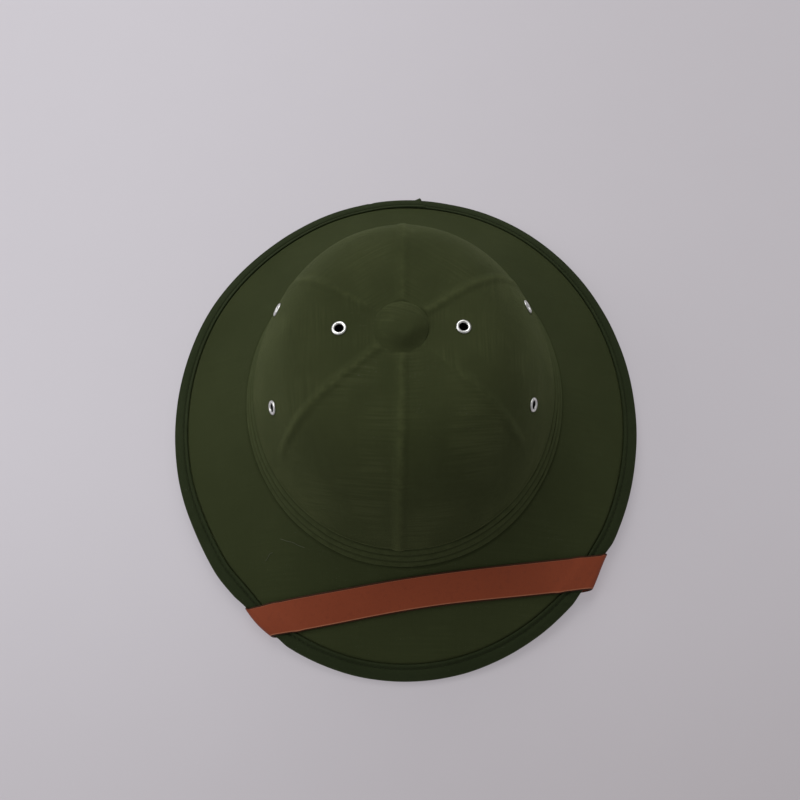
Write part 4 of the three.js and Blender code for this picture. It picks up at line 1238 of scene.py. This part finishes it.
def fold_lines(places, way, slack=0, held=0):
    """Half a turn round the rim, in the strap's own direction. The front corner may stand
    off the rim by some slack, and the rear one may be held into the soft binding."""
    loose = slack * ((1 - ACROSS[:, None]) / 2) ** 1.3 - held * ((1 + ACROSS[:, None]) / 2) ** 2
    t = fold_turn(places)
    start = on_rim(t, -FOLD_INSET, sole_height(t) + FOLD_MIDDLE)
    square = np.column_stack([np.cos(t) * (RIM_B - FOLD_INSET), np.sin(t) * (RIM_A - FOLD_INSET)])
    square /= np.linalg.norm(square, axis=1)[:, None]
    onward = np.append(way, 0) / (square @ way)[:, None]
    for angle in np.linspace(math.pi / 2, -math.pi / 2, FOLD_STEPS + 1):
        leather_here = STRAP_LEATHER - FOLD_SKIVED * math.cos(angle)
        yield [start + onward * (FOLD_REACH + loose + extra) * math.cos(angle)
               + [0, 0, (FOLD_HALF + extra) * math.sin(angle)] for extra in (0, leather_here)]


TAB_LOW = np.array([-LEDGE - GAP, FOOT_HEIGHT])
TAB_HIGH = np.array([-BAND_INSET - (CROWN_LINING + GAP) * BAND_LEVEL,
                     FOOT_HEIGHT + BAND_HEIGHT - (CROWN_LINING + GAP) * BAND_LEAN])
TAB_WAY = (TAB_HIGH - TAB_LOW) / np.linalg.norm(TAB_HIGH - TAB_LOW)
LEDGE_UNDER = FOOT_HEIGHT - GAP - BOARD - GAP


def anchor_turn(side):
    bearing = -ANCHOR_LEAD if side > 0 else ANCHOR_LEAD - math.pi
    return float(turn_at(bearing, FOOT_A, FOOT_B))


def under_lines(places, side):
    anchor = anchor_turn(side)
    spread_turn = STRAP_WIDTH / 2 / math.hypot((FOOT_A - LEDGE) * math.sin(anchor),
                                               (FOOT_B - LEDGE) * math.cos(anchor))
    ends = anchor + ACROSS * spread_turn * side
    t = fold_turn(places)
    starts = on_rim(t, -BINDING_CLOTH - SOLE - GAP, sole_height(t) - GAP)
    lines = []
    for way in np.linspace(0, 0.92, UNDER_STEPS):
        goal = on_foot(ends, -LEDGE / 2, 0)
        x, y = blend(starts[:, 0], goal[:, 0], way), blend(starts[:, 1], goal[:, 1], way)
        share, place_t = brim_place(x, y)
        z = brim_middle(place_t, share)[:, 2] - BOARD / 2 - proud_at(place_t, share) - STRAP_CLEAR
        z = np.where(share > 0, z, LEDGE_UNDER)
        z = blend(starts[:, 2], z, smooth_step(way, 0, 0.12))
        inner = np.column_stack([x, y, z])
        lines.append((inner, inner - [0, 0, STRAP_LEATHER]))
    bend = [(-LEDGE + GAP, LEDGE_UNDER, -LEDGE + GAP - STRAP_LEATHER / 2, LEDGE_UNDER - STRAP_LEATHER),
            (-LEDGE - 0.15, LEDGE_UNDER + 0.02, -LEDGE - STRAP_LEATHER * 0.85, LEDGE_UNDER - 0.95),
            (-LEDGE - GAP, LEDGE_UNDER + GAP, -LEDGE - GAP - STRAP_LEATHER, LEDGE_UNDER - GAP)]
    for out_in, z_in, out_out, z_out in bend:
        lines.append((on_foot(ends, out_in, z_in), on_foot(ends, out_out, z_out)))
    for way in np.linspace(0, 1, 13):
        out_in, z_in = blend(TAB_LOW, TAB_HIGH, way)
        lines.append((on_foot(ends, out_in, z_in),
                      on_foot(ends, out_in - STRAP_LEATHER * TAB_WAY[1],
                              z_in + STRAP_LEATHER * TAB_WAY[0])))
    return lines


strap_lines = [*under_lines(fold_left, -1)[::-1],
               *list(fold_lines(fold_left, -strap_along, 0, FOLD_HELD))[::-1],
               *top_lines(), *fold_lines(fold_right, strap_along, FOLD_SLACK),
               *under_lines(fold_right, 1)]
centre_line = np.array([(inner[CENTRE] + outer[CENTRE]) / 2 for inner, outer in strap_lines])
strap_steps = np.linalg.norm(np.diff(centre_line, axis=0), axis=1)
print("strap:", len(strap_lines), "lines,", round(strap_steps.sum()), "mm long")

# %% Cut the strap with rounded edges
EDGE_STEPS = 5


def strap_section(inner, outer):
    """A ring of points round the strap: outer face, rounded edge, inner face, other edge."""
    middle, half = (inner + outer) / 2, (outer - inner) / 2
    ring, edge_dye_and_painted_highlight = [], []
    inset = STRAP_LEATHER / STRAP_WIDTH
    shares = ACROSS * (1 - inset)
    mids = np.array([[np.interp(s, ACROSS, middle[:, k]) for k in range(3)] for s in shares])
    halves = np.array([[np.interp(s, ACROSS, half[:, k]) for k in range(3)] for s in shares])
    for k in range(len(ACROSS)):
        ring.append(mids[k] + halves[k])
        # Index 0 paints a pale highlight line along the lower, front edge; the last one carries the
        # dark dye onto the face at the upper edge.
        edge_dye_and_painted_highlight.append({0: 0.5, 1: 0.22, len(ACROSS) - 1: 1.4}.get(k, 0.0))
    for end, way in ((-1, 1), (0, -1)):
        sideways = middle[-1] - middle[-2] if way > 0 else middle[0] - middle[1]
        sideways = sideways / np.linalg.norm(sideways) * STRAP_LEATHER / 2
        for step in range(1, EDGE_STEPS + 1):
            angle = math.pi * step / (EDGE_STEPS + 1)
            ring.append(mids[end] + sideways * math.sin(angle) + way * halves[end] * math.cos(angle))
            edge_dye_and_painted_highlight.append(1.0)
        if way > 0:
            for k in range(len(ACROSS) - 1, -1, -1):
                ring.append(mids[k] - halves[k])
                edge_dye_and_painted_highlight.append(0.0)
    return ring, edge_dye_and_painted_highlight


sections = [strap_section(inner, outer) for inner, outer in strap_lines]
rows = np.array([ring for ring, _ in sections])
wear_and_painted_light = np.array([edge_dye_and_painted_highlight for _, edge_dye_and_painted_highlight in sections])
size = rows.shape[1]
faces = lattice_faces(len(rows), size).tolist()
faces += end_faces(0, (len(rows) - 1) * size, size)
along = np.r_[0, np.cumsum(strap_steps)]
closed = np.concatenate([rows, rows[:, :1]], 1)
across = np.concatenate([np.zeros((len(rows), 1)),
                         np.cumsum(np.linalg.norm(np.diff(closed, axis=1), axis=2), axis=1)], 1)
threads = grid_threads(along[:, None] + 0 * across, across)
threads = np.vstack([threads, np.zeros((2 * size, 2))])
strap = make_piece("strap_leather_band", rows.reshape(-1, 3), faces, threads, wear_and_painted_light)

# %% [markdown]
# ## Loose threads
# Two ends of thread lie on the brim in front, left over from the sewing. They are so thin
# that a bump would lose them, so each is a bent tube that rests on the cloth.

# %% Drop two ends of thread on the brim
LOOSE_RADIUS, LOOSE_SIDES = 0.12, 6
LOOSE_ENDS = [[(-68.4, -82.4), (-64.7, -84.0), (-61.3, -85.0), (-57.9, -87.0), (-54.6, -88.4)],
              [(-77.3, -92.5), (-75.6, -90.4), (-75.0, -89.2), (-73.2, -88.6)]]
points, faces = [], []
for knots in LOOSE_ENDS:
    knots = np.array(knots)
    steps = np.linspace(0, len(knots) - 1, 6 * len(knots))
    x, y = (np.interp(steps, range(len(knots)), knots[:, k]) for k in (0, 1))
    share, t = brim_place(x, y)
    line = np.column_stack([x, y, brim_middle(t, share)[:, 2] + BOARD / 2 + 0.35])
    for number, centre in enumerate(line):
        ahead = line[min(number + 1, len(line) - 1)] - line[max(number - 1, 0)]
        turn = Vector((0, 0, 1)).rotation_difference(Vector(ahead)).to_matrix()
        for k in range(LOOSE_SIDES):
            angle = 2 * math.pi * k / LOOSE_SIDES
            ray = turn @ Vector((math.cos(angle), math.sin(angle), 0)) * LOOSE_RADIUS
            points.append(centre + np.array(ray))
    begin = len(points) - len(line) * LOOSE_SIDES
    faces += (lattice_faces(len(line), LOOSE_SIDES) + begin).tolist()
    faces += end_faces(begin, len(points) - LOOSE_SIDES, LOOSE_SIDES)
loose = make_piece("loose_threads", np.array(points), faces)
finish_piece(loose, pale_thread, "binding_cloth")

# %% [markdown]
# ## Rivets
# A low-headed rivet holds each tab to the wall. The head is turned like the eyelets, with
# a softly domed face and a rounded edge, and its shank goes through the strap.

# %% Rivet the tabs
RIVET_SHANK, RIVET_HEAD, RIVET_RISE, ANCHOR_UP = 1.6, 3.5, 1.2, 0.55


def rivet_seat(side):
    t = anchor_turn(side)
    out, z = blend(TAB_LOW, TAB_HIGH, ANCHOR_UP)
    seat = on_foot(t, out, z)
    level = np.array([math.cos(t) / (FOOT_A + out), math.sin(t) / (FOOT_B + out), 0])
    level *= TAB_WAY[1] / np.linalg.norm(level)
    axis = level + [0, 0, -TAB_WAY[0]]
    return seat, axis / np.linalg.norm(axis)


rivet_seats = {"left": rivet_seat(-1), "right": rivet_seat(1)}
bored(strap, [plug(seat, axis, RIVET_SHANK + GAP, -4, 3) for seat, axis in rivet_seats.values()])
finish_piece(strap, leather, "strap_leather", "chin_strap")
base = -STRAP_LEATHER - GAP
rivet_profile = [(0.05, base - RIVET_RISE), (1.2, base - RIVET_RISE * 0.97),
                 (2.2, base - RIVET_RISE * 0.84), (2.9, base - RIVET_RISE * 0.62),
                 (3.3, base - RIVET_RISE * 0.38), (RIVET_HEAD, base - 0.2),
                 (RIVET_HEAD - 0.1, base), (RIVET_SHANK, base), (RIVET_SHANK, WALL), (0.05, WALL)]
for side, (seat, axis) in rivet_seats.items():
    points = turned(rivet_profile, METAL_SIDES, seat, axis)
    faces = lattice_faces(len(rivet_profile), METAL_SIDES).tolist()
    faces += end_faces(0, (len(rivet_profile) - 1) * METAL_SIDES, METAL_SIDES, True)
    rivet = make_piece("rivet_" + side, points, faces)
    finish_piece(rivet, metal, "eyelet_metal", "strap_rivet_" + side)

# %% [markdown]
# ## Table and light
# The hat lies on a plain pale table under five soft boxes: behind, on the left, on the
# right and high up. Small lamps would cut hard shadows, so these are large, and a bright
# surround fills in; the hat throws only a thin soft shadow at its rim. The table's colour
# holds painted light: it glows a little, more so away from the front and from the right,
# which also softens the hat's shadow, and not under the hat.

# %% Lay the table and hang the lights
TABLE_HALF, TABLE_DROP = 3.0, 0.0003
table_mesh = bpy.data.meshes.new("table")
corners = [(x * TABLE_HALF, y * TABLE_HALF, -TABLE_DROP)
           for x, y in ((-1, -1), (1, -1), (1, 1), (-1, 1))]
table_mesh.from_pydata(corners, [], [(0, 1, 2, 3)])
table = bpy.data.objects.new("table", table_mesh)
bpy.context.scene.collection.objects.link(table)
table_material, tree, shader, place = new_material("pale_table")
grain = cloud(tree, place, 30.0, 3.0)
tree.links.new(tint(tree, grain, (0.24, 0.23, 0.24, 1), (0.25, 0.24, 0.25, 1)),
               shader.inputs["Base Color"])
split = tree.nodes.new("ShaderNodeSeparateXYZ")
tree.links.new(place, split.inputs[0])
# Painted light: the table glows brighter towards the back and the left, a painted light gradient, and
# not under the hat.
from_front = spread(tree, split.outputs["Y"], -0.32, 0.02, 0.0, 0.5)
from_right = spread(tree, split.outputs["X"], 0.3, -0.3, 0.0, 0.5)
painted_glow = tint(tree, calc(tree, "ADD", from_front, from_right), (0.212, 0.193, 0.204, 1),
            (0.385, 0.368, 0.4, 1))
under_hat = calc(tree, "POWER", calc(tree, "DIVIDE", split.outputs["X"], RIM_A * MM), 2.0)
under_hat = calc(tree, "ADD", under_hat, calc(
    tree, "POWER", calc(tree, "DIVIDE", split.outputs["Y"], RIM_B * MM), 2.0))
painted_glow = tint(tree, spread(tree, under_hat, 0.9, 0.98), (0, 0, 0, 1), painted_glow)
tree.links.new(painted_glow, shader.inputs["Emission Color"])
shader.inputs["Emission Strength"].default_value = 1.0
shader.inputs["Roughness"].default_value = 0.85
table_mesh.materials.append(table_material)

scene = bpy.context.scene
scene.view_settings.view_transform = "Standard"
world = bpy.data.worlds.new("studio")
world.use_nodes = True
background = world.node_tree.nodes["Background"]
background.inputs["Color"].default_value = (1.0, 0.985, 1.0, 1)
background.inputs["Strength"].default_value = 0.295
scene.world = world

LAMP_DISTANCE, LAMP_SIZE = 1.7, 1.0
SOFT_BOXES = [("back", 90, 35, 4.7), ("left", 180, 35, 5.9), ("high", 105, 60, 7.6),
              ("high_left", 190, 60, 1.0), ("right", -25, 40, 0.8)]
for name, bearing, height, watts in SOFT_BOXES:
    data = bpy.data.lights.new("soft_box_" + name, "AREA")
    data.shape, data.size, data.energy = "DISK", LAMP_SIZE, watts
    lamp = bpy.data.objects.new("soft_box_" + name, data)
    bearing, height = math.radians(bearing), math.radians(height)
    lamp.location = LAMP_DISTANCE * Vector((math.cos(height) * math.cos(bearing),
                                            math.cos(height) * math.sin(bearing), math.sin(height)))
    aim = Vector((0, 0, 0.05)) - lamp.location
    lamp.rotation_euler = aim.to_track_quat("-Z", "Y").to_euler()
    scene.collection.objects.link(lamp)
